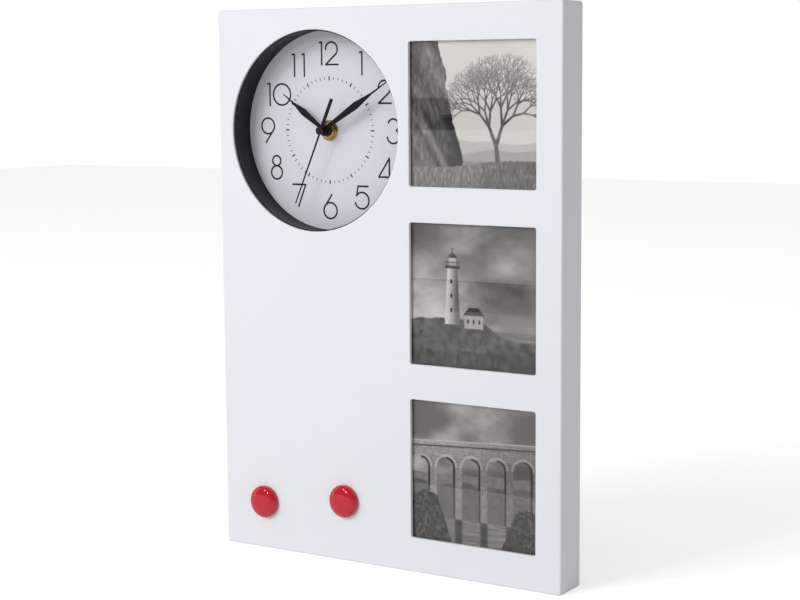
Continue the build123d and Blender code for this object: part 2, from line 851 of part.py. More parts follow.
with BuildPart() as train_bridge:
    bridge_low_v = gear_low + bridge_edge_gap
    bridge_high_v = gear_high - bridge_edge_gap
    with BuildSketch(level_plane(bridge_levels[1])):
        with Locations(movement(0, (bridge_low_v + bridge_high_v) / 2)):
            Rectangle(2 * (case_inside - bridge_edge_gap), bridge_high_v - bridge_low_v)
        with Locations(centre_axis):
            Circle(seconds_shaft_radius + running_clearance, mode=Mode.SUBTRACT)
        with Locations(third_axis):
            Circle(bridge_third_hole_radius, mode=Mode.SUBTRACT)
        with Locations(setting_axis):
            Circle(bridge_setting_hole_radius, mode=Mode.SUBTRACT)
    extrude(amount=bridge_levels[1] - bridge_levels[0])
    intermediate_front_level = intermediate_pinion_levels[0] - end_gap
    add_rod(
        intermediate_axis, thin_arbor_radius + pivot_boss_wall, bridge_levels[1], intermediate_front_level,
    )
    cut_bore(
        intermediate_axis, thin_arbor_radius + running_clearance,
        intermediate_front_level - pivot_length, intermediate_front_level,
    )
    rotor_front_level = rotor_magnet_levels[0] - end_gap
    add_rod(rotor_axis, rotor_pivot_radius + pivot_boss_wall, bridge_levels[1], rotor_front_level)
    cut_bore(
        rotor_axis, rotor_pivot_radius + running_clearance,
        rotor_front_level - pivot_length, rotor_front_level,
    )
    for place in stator_posts:
        add_rod(place, post_rod_radius, bridge_levels[1], stator_levels[0])
        screw_hole_level = stator_levels[0] - pivot_length
        cut_bore(place, stator_screw_radius + seat_clearance, screw_hole_level, stator_levels[0])
    for place in circuit_posts:
        add_rod(place, post_rod_radius, bridge_levels[1], circuit_level)
finish(train_bridge.part, "train_bridge", gear_white)


# Motor: stator, coil core, bobbin, winding and their screws
def movement_rectangle(left, right, low, high):
    """A rectangle between two widths and two heights on the movement, in the open sketch."""
    with Locations(movement((left + right) / 2, (low + high) / 2)):
        Rectangle(right - left, high - low)


with BuildPart() as stator:
    arm_top = coil_v + coil_core_width / 2
    with BuildSketch(level_plane(stator_levels[1])):
        block_left = rotor_u - stator_block_left
        block_right = rotor_u + stator_block_right
        arm_low = stator_cross_v - stator_arm_width
        movement_rectangle(block_left, block_right, stator_low_v, stator_cross_v)
        movement_rectangle(coil_left, coil_right, arm_low, stator_cross_v)
        movement_rectangle(coil_left, coil_left + stator_arm_width, arm_low, arm_top)
        movement_rectangle(coil_right - stator_arm_width, coil_right, arm_low, arm_top)
        with Locations(rotor_axis):
            Circle(rotor_hole_radius, mode=Mode.SUBTRACT)
        with Locations(*stator_posts):
            Circle(stator_screw_radius + running_clearance, mode=Mode.SUBTRACT)
    extrude(amount=stator_levels[1] - stator_levels[0])
finish(stator.part, "stator", steel)

core_levels = (stator_levels[1], stator_levels[1] + coil_core_thickness)
with BuildPart() as coil_core:
    with BuildSketch(level_plane(core_levels[1])):
        movement_rectangle(coil_left, coil_right, coil_v - coil_core_width / 2, coil_v + coil_core_width / 2)
        with Locations(*stator_posts):
            Circle(stator_screw_radius + running_clearance, mode=Mode.SUBTRACT)
    extrude(amount=coil_core_thickness)
finish(coil_core.part, "coil_core", steel)


def coil_cylinder(left, right, radius, mode=Mode.ADD):
    """A cylinder round the coil core, between two widths on the movement."""
    x, z = movement((left + right) / 2, coil_v)
    with Locations((x, case_y + coil_level, z)):
        Cylinder(radius, right - left, rotation=(0, 90, 0), mode=mode)


with BuildPart() as coil_bobbin:
    coil_cylinder(bobbin_left, bobbin_right, bobbin_barrel_radius)
    coil_cylinder(bobbin_left, bobbin_left + bobbin_flange, bobbin_radius)
    coil_cylinder(bobbin_right - bobbin_flange, bobbin_right, bobbin_radius)
    x, z = movement((bobbin_left + bobbin_right) / 2, coil_v)
    with Locations((x, case_y + coil_level, z)):
        Box(
            bobbin_right - bobbin_left + overrun, coil_core_thickness + 2 * running_clearance,
            coil_core_width + 2 * running_clearance, mode=Mode.SUBTRACT,
        )
finish(coil_bobbin.part, "coil_bobbin", black)

with BuildPart() as coil_winding:
    winding_left = bobbin_left + bobbin_flange + running_clearance
    winding_right = bobbin_right - bobbin_flange - running_clearance
    coil_cylinder(winding_left, winding_right, winding_radius)
    coil_cylinder(winding_left, winding_right, bobbin_barrel_radius + seat_clearance, Mode.SUBTRACT)
finish(coil_winding.part, "coil_winding", copper)

with BuildPart() as stator_screws:
    add_pan_screws(
        stator_posts, case_y + core_levels[1], core_levels[1] - stator_levels[0] + pivot_length - end_gap,
        stator_screw_radius, stator_screw_head_radius, stator_screw_head_height,
    )
finish(stator_screws.part, "stator_screws", steel)


# Electronics
with BuildPart() as circuit_board:
    with BuildSketch(level_plane(circuit_level + circuit_thickness)):
        movement_rectangle(
            board_left_u, case_inside - bridge_edge_gap, board_low_v, gear_high - bridge_edge_gap,
        )
    extrude(amount=circuit_thickness)
finish(circuit_board.part, "circuit_board", circuit_green)

circuit_back_level = circuit_level + circuit_thickness
with BuildPart() as circuit_chip:
    add_rod(movement(*chip_place), chip_radius, circuit_back_level, circuit_back_level + chip_height)
    fillet(circuit_chip.faces().sort_by(Axis.Y)[-1].edges(), chip_edge_radius)
finish(circuit_chip.part, "circuit_chip", black)

with BuildPart() as quartz_crystal:
    x, z = movement(*crystal_place)
    with Locations((x, case_y + circuit_back_level + crystal_radius, z)):
        Cylinder(crystal_radius, crystal_length, rotation=(0, 90, 0))
finish(quartz_crystal.part, "quartz_crystal", steel)

# Battery contacts and battery
with BuildPart() as battery_contacts:
    for side in (-1, 1):
        inner = battery_length / 2 + contact_gap
        outer = case_inside - contact_thickness
        x, z = movement(side * (case_inside - contact_thickness / 2), battery_v)
        with Locations((x, case_y + contact_low_level + contact_height / 2, z)):
            Box(contact_thickness, contact_height, contact_width)
        x, z = movement(side * (inner + outer) / 2, battery_v)
        with Locations((x, case_y + battery_level, z)):
            Cylinder(contact_dimple_radius, outer - inner, rotation=(0, 90, 0))
finish(battery_contacts.part, "battery_contacts", steel)

with BuildPart() as battery:
    shoulder = battery_length / 2 - battery_nub_length
    x, z = movement((shoulder - battery_length / 2) / 2, battery_v)
    with Locations((x, case_y + battery_level, z)):
        Cylinder(battery_radius, battery_length - battery_nub_length, rotation=(0, 90, 0))
    fillet(battery.edges().filter_by(GeomType.CIRCLE), battery_edge_radius)
    x, z = movement(shoulder + battery_nub_length / 2, battery_v)
    with Locations((x, case_y + battery_level, z)):
        Cylinder(battery_nub_radius, battery_nub_length, rotation=(0, 90, 0))
finish(battery.part, "battery", battery_grey)


# Gears: each tooth's corners as (module shares above the pitch line, shares of a pitch from the middle)
pinion_most_teeth = 12
pinion_tooth_shares = ((-1.15, -0.20), (0.0, -0.19), (0.75, -0.10), (0.75, 0.10), (0.0, 0.19), (-1.15, 0.20))
wheel_tooth_shares = ((-1.05, -0.26), (0.0, -0.20), (0.85, -0.09), (0.85, 0.09), (0.0, 0.20), (-1.05, 0.26))


def mesh_phase(lead_phase, lead_teeth, teeth, direction):
    """The angle of a gear's first tooth, in mesh with a leading gear that lies opposite the direction."""
    return direction + half_turn - (lead_phase - direction) * lead_teeth / teeth + half_turn / teeth


def add_gear(axis, module, teeth, phase, levels):
    """A gear with straight flanks between two levels, in the open part."""
    shares = pinion_tooth_shares if teeth <= pinion_most_teeth else wheel_tooth_shares
    pitch = full_turn / teeth
    radius = module * teeth / 2
    points = [
        along(axis, radius + height * module, phase + (n + side) * pitch)
        for n in range(teeth) for height, side in shares
    ]
    with BuildSketch(level_plane(levels[1])) as blank:
        with BuildLine():
            Polyline(*points, close=True)
        make_face()
    extrude(blank.sketch, amount=levels[1] - levels[0])


centre_phase = 0.0
cannon_phase = 0.0
third_pinion_phase = mesh_phase(centre_phase, centre_wheel_teeth, third_pinion_teeth, third_direction)
third_phase = 0.0
seconds_pinion_phase = mesh_phase(
    third_phase, third_wheel_teeth, seconds_pinion_teeth, third_direction + half_turn,
)
seconds_phase = 0.0
intermediate_pinion_phase = mesh_phase(
    seconds_phase, seconds_wheel_teeth, intermediate_pinion_teeth, intermediate_direction,
)
intermediate_phase = 0.0
rotor_phase = mesh_phase(intermediate_phase, intermediate_wheel_teeth, rotor_teeth, rotor_direction)
minute_wheel_phase = mesh_phase(cannon_phase, cannon_teeth, minute_wheel_teeth, motion_direction)
minute_pinion_phase = 0.0
hour_phase = mesh_phase(
    minute_pinion_phase, minute_pinion_teeth, hour_wheel_teeth, motion_direction + half_turn,
)
setting_phase = mesh_phase(minute_wheel_phase, minute_wheel_teeth, setting_teeth, motion_direction)


def front_rod(front_y_end, back_level, radius):
    """A rod on the clock's centre from a depth in front of the case to a level inside it."""
    add_rod(centre_axis, radius, front_y_end - case_y, back_level)


with BuildPart() as minute_tube:
    tube_front_y = minute_hand_front_y - tube_reach
    front_rod(tube_front_y, centre_wheel_levels[1], minute_tube_radius)
    add_gear(centre_axis, minute_module, cannon_teeth, cannon_phase, cannon_levels)
    cut_bore(centre_axis, minute_tube_bore, tube_front_y - case_y, centre_wheel_levels[1])
finish(minute_tube.part, "minute_tube", brass)

with BuildPart() as centre_wheel:
    add_gear(centre_axis, centre_module, centre_wheel_teeth, centre_phase, centre_wheel_levels)
    cut_bore(centre_axis, minute_tube_radius + seat_clearance, *centre_wheel_levels)
finish(centre_wheel.part, "centre_wheel", gear_white)

with BuildPart() as hour_wheel:
    add_gear(centre_axis, hour_module, hour_wheel_teeth, hour_phase, hour_wheel_levels)
    front_rod(hour_hand_front_y - tube_reach, hour_wheel_levels[1], hour_tube_radius)
    cut_bore(centre_axis, hour_tube_bore, hour_hand_front_y - tube_reach - case_y, hour_wheel_levels[1])
finish(hour_wheel.part, "hour_wheel", gear_white)

with BuildPart() as minute_wheel:
    add_gear(motion_axis, minute_module, minute_wheel_teeth, minute_wheel_phase, minute_wheel_levels)
    add_gear(motion_axis, hour_module, minute_pinion_teeth, minute_pinion_phase, minute_pinion_levels)
    add_rod(motion_axis, motion_hub_radius, minute_pinion_levels[0], minute_wheel_levels[1])
    cut_bore(
        motion_axis, motion_post_radius + running_clearance, minute_pinion_levels[0], minute_wheel_levels[1],
    )
finish(minute_wheel.part, "minute_wheel", gear_white)

with BuildPart() as third_wheel:
    add_gear(third_axis, seconds_module, third_wheel_teeth, third_phase, third_wheel_levels)
    add_gear(third_axis, centre_module, third_pinion_teeth, third_pinion_phase, third_pinion_levels)
    add_rod(
        third_axis, arbor_radius,
        third_post_top - pivot_length + pivot_end_gap, third_rear_level + pivot_length - pivot_end_gap,
    )
finish(third_wheel.part, "third_wheel", gear_white)

seconds_shaft_end = seconds_rear_level + pivot_length - pivot_end_gap
with BuildPart() as seconds_shaft:
    front_rod(second_hand_front_y, seconds_shaft_end, seconds_shaft_radius)
finish(seconds_shaft.part, "seconds_shaft", steel)

with BuildPart() as seconds_wheel:
    add_gear(centre_axis, seconds_module, seconds_wheel_teeth, seconds_phase, seconds_wheel_levels)
    add_gear(centre_axis, seconds_module, seconds_pinion_teeth, seconds_pinion_phase, seconds_pinion_levels)
    add_rod(centre_axis, seconds_hub_radius, seconds_pinion_levels[1], seconds_wheel_levels[1])
    cut_bore(
        centre_axis, seconds_shaft_radius + seat_clearance, seconds_pinion_levels[0], seconds_wheel_levels[1],
    )
finish(seconds_wheel.part, "seconds_wheel", gear_white)

with BuildPart() as intermediate_wheel:
    add_gear(
        intermediate_axis, rotor_module, intermediate_wheel_teeth, intermediate_phase,
        intermediate_wheel_levels,
    )
    add_gear(
        intermediate_axis, seconds_module, intermediate_pinion_teeth, intermediate_pinion_phase,
        intermediate_pinion_levels,
    )
    add_rod(
        intermediate_axis, thin_arbor_radius,
        intermediate_front_level - pivot_length + pivot_end_gap,
        intermediate_rear_level + pivot_length - pivot_end_gap,
    )
finish(intermediate_wheel.part, "intermediate_wheel", gear_white)

with BuildPart() as rotor_pinion:
    add_gear(rotor_axis, rotor_module, rotor_teeth, rotor_phase, rotor_pinion_levels)
    add_rod(
        rotor_axis, rotor_pivot_radius,
        rotor_front_level - pivot_length + pivot_end_gap, rotor_rear_level + pivot_length - pivot_end_gap,
    )
finish(rotor_pinion.part, "rotor_pinion", gear_white)

with BuildPart() as rotor_magnet:
    add_rod(rotor_axis, rotor_magnet_radius, *rotor_magnet_levels)
    cut_bore(rotor_axis, rotor_pivot_radius + seat_clearance, *rotor_magnet_levels)
finish(rotor_magnet.part, "rotor_magnet", black)

stem_end = knob_recess_level + knob_clearance + knob_thickness
with BuildPart() as setting_arbor:
    add_gear(setting_axis, minute_module, setting_teeth, setting_phase, setting_pinion_levels)
    add_rod(
        setting_axis, setting_pivot_radius,
        setting_post_top - pivot_length + pivot_end_gap, setting_pinion_levels[0],
    )
    add_rod(setting_axis, setting_stem_radius, setting_pinion_levels[1], stem_end)
finish(setting_arbor.part, "setting_arbor", gear_white)

with BuildPart() as setting_knob:
    with BuildSketch(level_plane(stem_end)):
        with Locations(setting_axis):
            Circle(knob_radius)
            Circle(setting_stem_radius + seat_clearance, mode=Mode.SUBTRACT)
            with PolarLocations(knob_radius, knob_grip_count):
                Circle(knob_grip_radius, mode=Mode.SUBTRACT)
    extrude(amount=knob_thickness)
finish(setting_knob.part, "setting_knob", gear_white)


# Hands
def hand_outline(angle, points):
    """A hand's outline, symmetrical about its axis, from (reach, half width) points, in the open sketch."""
    direction = quarter_turn - angle

    def place(reach, side):
        return along(along(centre_axis, reach, direction), side, direction + quarter_turn)

    near = [place(reach, half) for reach, half in points]
    far = [place(reach, -half) for reach, half in reversed(points)]
    with BuildLine() as outline:
        Polyline(*near, *far, close=True)
    make_face(outline.edges())


def leaf_points(length, wide_at, width):
    """A hand that widens to a leaf and ends in a needle."""
    neck_at = wide_at + hand_needle_share * (length - wide_at)
    return [
        (0.0, hand_root_width / 2), (wide_at, width / 2),
        (neck_at, hand_neck_width / 2), (length, hand_tip_width / 2),
    ]


def add_leaf_hand(angle, length, wide_at, width, hub_radius, collet_length, bore, hand_front_y):
    """A pressed hand with a round hub and the collet that grips its tube, in the open part."""
    hand_back_y = hand_front_y + hand_thickness
    with BuildSketch(face_plane(hand_back_y)) as blade:
        hand_outline(angle, leaf_points(length, wide_at, width))
        with Locations(centre_axis):
            Circle(hub_radius)
    extrude(blade.sketch, amount=hand_thickness)
    with BuildSketch(face_plane(hand_back_y + collet_length)) as collet:
        with Locations(centre_axis):
            Circle(hub_radius)
    extrude(collet.sketch, amount=collet_length)
    with BuildSketch(face_plane(hand_back_y + collet_length)) as hole:
        with Locations(centre_axis):
            Circle(bore)
    extrude(hole.sketch, amount=collet_length + hand_thickness, mode=Mode.SUBTRACT)


with BuildPart() as hour_hand:
    add_leaf_hand(
        hour_hand_angle, hour_hand_length, hour_hand_wide_at, hour_hand_width,
        hour_hub_radius, hour_collet_length, hour_tube_radius + seat_clearance, hour_hand_front_y,
    )
finish(hour_hand.part, "hour_hand", black)

with BuildPart() as minute_hand:
    add_leaf_hand(
        minute_hand_angle, minute_hand_length, minute_hand_wide_at, minute_hand_width,
        minute_hub_radius, minute_collet_length, minute_tube_radius + seat_clearance, minute_hand_front_y,
    )
finish(minute_hand.part, "minute_hand", black)

with BuildPart() as second_hand:
    second_back_y = second_hand_front_y + hand_thickness
    with BuildSketch(face_plane(second_back_y)):
        needle = [(0.0, second_hand_root_width / 2), (second_hand_length, second_hand_tip_width / 2)]
        tail = [(0.0, second_tail_width / 2), (second_tail_length, second_tail_width / 2)]
        hand_outline(second_hand_angle, needle)
        hand_outline(second_hand_angle + half_turn, tail)
        with Locations(centre_axis):
            Circle(second_hub_radius)
    extrude(amount=hand_thickness)
    with BuildSketch(face_plane(second_back_y + second_collet_length)):
        with Locations(centre_axis):
            Circle(second_collet_radius)
    extrude(amount=second_collet_length)
    with BuildSketch(face_plane(second_back_y + second_collet_length)):
        with Locations(centre_axis):
            Circle(seconds_shaft_radius + seat_clearance)
    extrude(amount=second_collet_length + hand_thickness, mode=Mode.SUBTRACT)
finish(second_hand.part, "second_hand", black)

with BuildPart() as second_hand_cap:
    with BuildSketch(face_plane(second_hand_front_y)):
        with Locations(centre_axis):
            Circle(second_cap_radius)
    extrude(amount=second_cap_height)
    fillet(second_hand_cap.faces().sort_by(Axis.Y)[0].edges(), second_cap_edge)
finish(second_hand_cap.part, "second_hand_cap", black)


# Photo stack
with BuildPart() as photo_panes:
    with BuildSketch(face_plane(pane_back_y)):
        with Locations(*window_centres):
            Rectangle(pane_size, pane_size)
    extrude(amount=pane_thickness)
finish(photo_panes.part, "photo_panes", clear)

for number, window in enumerate(window_centres, start=1):
    with BuildPart() as photo_print:
        with BuildSketch(face_plane(print_back_y)):
            with Locations(window):
                Rectangle(print_size, print_size)
        extrude(amount=print_thickness)
    finish(photo_print.part, f"photo_print_{number}", photo_grey)

with BuildPart() as backing_boards:
    with BuildSketch(face_plane(board_back_y)):
        with Locations(*window_centres):
            Rectangle(board_size, board_size)
        with Locations(*[(x - board_size / 2, z) for x, z in window_centres]):
            Circle(board_notch_radius, mode=Mode.SUBTRACT)
    extrude(amount=board_thickness)
finish(backing_boards.part, "backing_boards", board_brown)

for number, (x, z, direction) in enumerate(turn_button_places(), start=1):
    with BuildPart() as turn_button:
        with BuildSketch(face_plane(button_back_y)):
            with Locations(along((x, z), button_length / 2 - button_tail, direction)):
                SlotOverall(button_length, button_width, rotation=direction)
            with Locations((x, z)):
                Circle(screw_shank_radius + button_bore_clearance, mode=Mode.SUBTRACT)
        extrude(amount=button_thickness)
    finish(turn_button.part, f"turn_button_{number}", black)

with BuildPart() as turn_button_screws:
    add_pan_screws(
        button_screws, button_back_y + button_gap,
        button_thickness + 2 * button_gap + button_screw_depth - end_gap,
        screw_shank_radius, screw_head_radius, screw_head_height,
    )
finish(turn_button_screws.part, "turn_button_screws", steel)


# Magnet board: the steel sheet behind the panel and two magnets on its front
with BuildPart() as magnet_plate:
    with BuildSketch(face_plane(panel_back_y + plate_thickness)):
        with Locations(((plate_left + plate_right) / 2, (plate_bottom + plate_top) / 2)):
            RectangleRounded(plate_right - plate_left, plate_top - plate_bottom, plate_corner_radius)
        with Locations(*post_places()):
            Circle(post_radius + plate_post_gap, mode=Mode.SUBTRACT)
    extrude(amount=plate_thickness)
finish(magnet_plate.part, "magnet_plate", steel)

for side, place in magnet_places.items():
    with BuildPart() as magnet_cap:
        with BuildSketch(face_plane(front_y)):
            with Locations(place):
                Circle(magnet_radius)
        extrude(amount=magnet_height)
        fillet(magnet_cap.faces().sort_by(Axis.Y)[0].edges(), magnet_edge_radius)
        with BuildSketch(face_plane(front_y)):
            with Locations(place):
                Circle(magnet_radius - magnet_wall)
        extrude(amount=magnet_disc_thickness + magnet_disc_gap, mode=Mode.SUBTRACT)
    finish(magnet_cap.part, f"magnet_cap_{side}", red)
    with BuildPart() as magnet_disc:
        with BuildSketch(face_plane(front_y)):
            with Locations(place):
                Circle(magnet_radius - magnet_wall - magnet_disc_gap)
        extrude(amount=magnet_disc_thickness)
    finish(magnet_disc.part, f"magnet_disc_{side}", black)


# Hangers, their screws and the wall bumpers
with BuildPart() as keyhole_hangers:
    entry_z = hanger_z - hanger_entry_drop
    with BuildSketch(face_plane(back_y)):
        for side in (-1, 1):
            x = side * hanger_x
            with Locations((x, hanger_z)):
                RectangleRounded(hanger_length, hanger_width, corner_radius)
            with Locations((x, entry_z)):
                Circle(hanger_entry_radius, mode=Mode.SUBTRACT)
            with Locations((x, entry_z + hanger_slot_rise / 2)):
                Rectangle(hanger_slot_width, hanger_slot_rise, mode=Mode.SUBTRACT)
            with Locations((x, entry_z + hanger_slot_rise)):
                Circle(hanger_slot_width / 2, mode=Mode.SUBTRACT)
        with Locations(*hanger_screw_places()):
            Circle(screw_shank_radius + running_clearance, mode=Mode.SUBTRACT)
    extrude(amount=hanger_thickness)
finish(keyhole_hangers.part, "keyhole_hangers", steel)

with BuildPart() as hanger_screws:
    add_pan_screws(
        hanger_screw_places(), back_y, hanger_thickness + hanger_screw_depth - end_gap,
        screw_shank_radius, screw_head_radius, screw_head_height,
    )
finish(hanger_screws.part, "hanger_screws", steel)

with BuildPart() as wall_bumpers:
    with BuildSketch(face_plane(back_y + bumper_height)):
        with Locations(*post_places()):
            Circle(bumper_radius)
    extrude(amount=bumper_height)
    fillet(wall_bumpers.faces().filter_by(Axis.Y).group_by(Axis.Y)[-1].edges(), bumper_edge)
    with BuildSketch(face_plane(back_y)):
        with Locations(*post_places()):
            Circle(bumper_peg_radius)
    extrude(amount=bumper_peg_length)
finish(wall_bumpers.part, "wall_bumpers", black)
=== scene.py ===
# Looks of a wall clock with three photo windows and two magnets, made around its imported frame.
# Lengths are metres, in the frame's own axes: X to the right, Y towards the wall, Z up.

import json
import random
from math import atan, cos, pi, radians, sin

import bpy
import numpy as np
from mathutils import Matrix, Vector


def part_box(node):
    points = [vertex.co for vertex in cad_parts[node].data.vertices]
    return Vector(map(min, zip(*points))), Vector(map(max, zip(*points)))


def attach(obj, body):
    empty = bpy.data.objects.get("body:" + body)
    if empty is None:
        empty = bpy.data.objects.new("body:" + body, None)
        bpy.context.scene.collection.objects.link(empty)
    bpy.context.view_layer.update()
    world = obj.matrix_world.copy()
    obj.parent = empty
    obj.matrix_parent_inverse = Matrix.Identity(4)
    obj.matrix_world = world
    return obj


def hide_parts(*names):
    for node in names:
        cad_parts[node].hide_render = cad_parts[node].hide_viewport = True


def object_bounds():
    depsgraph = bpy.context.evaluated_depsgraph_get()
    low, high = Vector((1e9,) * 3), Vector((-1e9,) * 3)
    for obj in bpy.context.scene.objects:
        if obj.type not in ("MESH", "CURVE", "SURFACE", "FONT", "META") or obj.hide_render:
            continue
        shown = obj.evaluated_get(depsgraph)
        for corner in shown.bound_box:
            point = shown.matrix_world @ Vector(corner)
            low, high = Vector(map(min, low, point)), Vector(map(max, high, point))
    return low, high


bl_info = {
    "name": "Photo frame clock",
    "version": (1, 0, 0),
    "blender": (4, 5, 0),
    "location": "View3D > Sidebar > Photo clock",
    "description": "Dresses the frame clock: shell, dial, hands, prints, magnets, movement and stage",
    "category": "Object",
}

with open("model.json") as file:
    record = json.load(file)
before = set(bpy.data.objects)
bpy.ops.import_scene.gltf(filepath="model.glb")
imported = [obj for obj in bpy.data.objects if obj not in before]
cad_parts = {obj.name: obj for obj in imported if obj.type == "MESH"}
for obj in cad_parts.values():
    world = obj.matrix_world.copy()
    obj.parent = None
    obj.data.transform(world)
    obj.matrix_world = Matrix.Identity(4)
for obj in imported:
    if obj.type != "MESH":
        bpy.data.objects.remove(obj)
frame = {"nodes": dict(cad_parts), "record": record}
cad_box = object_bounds()
record = frame["record"]

MM = 0.001
BODY_OF = {node: body for body, nodes in record["behaviour"]["bodies"].items() for node in nodes}
SLOT_OF = {part["node"]: part["material_slot"] for part in record["subparts"]}


# Settings
def colour_setting(name, default, description):
    return bpy.props.FloatVectorProperty(
        name=name, description=description, subtype="COLOR", size=3, min=0.0, max=1.0, default=default,
    )


def length_setting(name, default_mm, description):
    return bpy.props.FloatProperty(
        name=name, description=description, unit="LENGTH", min=0.0, precision=5, default=default_mm * MM,
    )


def share_setting(name, default, description):
    return bpy.props.FloatProperty(
        name=name, description=description, subtype="FACTOR", min=0.0, max=1.0, default=default,
    )


class CLOCK_PG_colours(bpy.types.PropertyGroup):
    """Colours of the finishes, linear"""
    shell: colour_setting("Shell", (0.80, 0.82, 0.855), "White moulding of the frame")
    cup: colour_setting("Clock cup", (0.006, 0.006, 0.007), "Black moulding round the dial")
    dial: colour_setting("Dial", (0.71, 0.70, 0.755), "Card of the dial")
    ink: colour_setting("Dial ink", (0.008, 0.008, 0.010), "Print on the dial")
    enamel: colour_setting("Hand enamel", (0.003, 0.003, 0.004), "Paint of the hands")
    brass: colour_setting("Brass", (0.60, 0.43, 0.18), "Nut, washer and tube")
    red: colour_setting("Magnet red", (0.54, 0.001, 0.020), "Caps of the magnets")
    steel: colour_setting("Steel", (0.52, 0.53, 0.55), "Plate, hangers and shafts")
    zinc: colour_setting("Zinc", (0.66, 0.67, 0.70), "Screws and contacts")
    movement: colour_setting("Movement", (0.022, 0.022, 0.024), "Case of the movement")
    gear: colour_setting("Gears", (0.66, 0.66, 0.58), "Natural gear plastic")
    rubber: colour_setting("Rubber", (0.020, 0.020, 0.021), "Bumpers and washer")
    board: colour_setting("Boards", (0.21, 0.115, 0.055), "Backing boards of the photographs")
    circuit: colour_setting("Circuit", (0.012, 0.13, 0.04), "Laminate of the circuit board")
    copper: colour_setting("Copper", (0.60, 0.20, 0.06), "Winding of the coil")
    sleeve: colour_setting("Battery sleeve", (0.050, 0.055, 0.062), "Sleeve of the battery")
    sleeve_band: colour_setting("Battery band", (0.50, 0.26, 0.09), "Band round the battery's plus end")


class CLOCK_PG_sizes(bpy.types.PropertyGroup):
    """Small sizes that the frame doesn't set"""
    hand_edge: length_setting("Hand edge", 0.09, "Rounding of the pressed hands")
    mould_edge: length_setting("Moulded edge", 0.30, "Rounding of moulded edges on the back")
    cup_edge: length_setting("Cup edge", 0.18, "Rounding of the cup's lip and ears")
    button_edge: length_setting("Button edge", 0.35, "Rounding of the turn buttons")
    plate_edge: length_setting("Plate edge", 0.15, "Rounding of the stamped hangers")
    nut_edge: length_setting("Nut edge", 0.15, "Rounding of the brass nut")
    bumper_edge: length_setting("Bumper edge", 0.35, "Rounding of the rubber bumpers")
    magnet_wall: length_setting("Magnet wall", 1.9, "Height of a magnet's upright edge")
    shell_grain: length_setting("Shell grain", 0.34, "Size of the white moulding's grain")
    battery_rim: length_setting("Battery rim", 0.6, "Rounding of the battery's ends")
    thread_pitch: length_setting("Thread pitch", 0.5, "Pitch of the thread on the movement's neck")


class CLOCK_PG_stage(bpy.types.PropertyGroup):
    """Light, floor and camera"""
    key_power: bpy.props.FloatProperty(
        name="Key light", description="Power of the soft box", unit="POWER", min=0.0, default=62.0,
    )
    fill_power: bpy.props.FloatProperty(
        name="Strip light", description="Power of the strip on the left", unit="POWER", min=0.0, default=1.2,
    )
    spot_power: bpy.props.FloatProperty(
        name="Small lamps", description="Power of each small lamp", unit="POWER", min=0.0, default=3.5,
    )
    surround: share_setting("Surround", 0.53, "Brightness of the studio round the object")
    mirror: share_setting("Mirrored studio", 0.22, "Brightness of the studio in glossy surfaces")
    floor: share_setting("Floor", 0.86, "Paleness of the floor")
    floor_glow: share_setting("Floor glow", 0.46, "How much the camera sees the floor lit from within")


def colours():
    return bpy.context.scene.clock_colours


def sizes():
    return bpy.context.scene.clock_sizes


# Modelling
def deselect():
    """Leaves edit mode and clears the selection."""
    if bpy.context.object and bpy.context.object.mode != "OBJECT":
        bpy.ops.object.mode_set(mode="OBJECT")
    bpy.ops.object.select_all(action="DESELECT")


def choose(piece):
    """Makes one piece the only selected and active one."""
    deselect()
    piece.select_set(True)
    bpy.context.view_layer.objects.active = piece


def apply_place(piece):
    """Puts a piece's place, turn and size into its mesh."""
    choose(piece)
    bpy.ops.object.transform_apply(location=True, rotation=True, scale=True)


def round_edges(piece, width, segments=2, angle=35.0):
    """Rounds the sharp edges of a piece with a bevel and shades the rest smooth."""
    choose(piece)
    bevel = piece.modifiers.new("Rounded edges", "BEVEL")
    bevel.width = width
    bevel.segments = segments
    bevel.limit_method = "ANGLE"
    bevel.angle_limit = radians(angle)
    bevel.use_clamp_overlap = True
    bpy.ops.object.modifier_apply(modifier=bevel.name)
    bpy.ops.object.shade_smooth_by_angle(angle=radians(angle))


def settle(piece, body, *nodes):
    """Joins a finished piece to a body, in place of the nodes that it stands for."""
    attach(piece, body)
    if nodes:
        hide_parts(*nodes)


def cover(piece, material):
    """Gives a piece or a CAD node one material."""
    if piece.material_slots:
        for place in piece.material_slots:
            place.material = material
    else:
        piece.data.materials.append(material)


def rounded_copy(node, width, material, segments=2):
    """A copy of a CAD node with its edges rounded, in the node's place."""
    source = frame["nodes"][node]
    piece = source.copy()
    piece.data = source.data.copy()
    piece.name = piece.data.name = f"{node}_rounded"
    piece.parent = None
    piece.matrix_world = Matrix.Identity(4)
    bpy.context.collection.objects.link(piece)
    choose(piece)
    bpy.ops.object.mode_set(mode="EDIT")
    bpy.ops.mesh.select_all(action="SELECT")
    bpy.ops.mesh.remove_doubles(threshold=0.001 * MM)
    bpy.ops.mesh.dissolve_limited(angle_limit=radians(0.4))
    bpy.ops.object.mode_set(mode="OBJECT")
    round_edges(piece, width, segments)
    cover(piece, material)
    settle(piece, BODY_OF[node], node)
    return piece


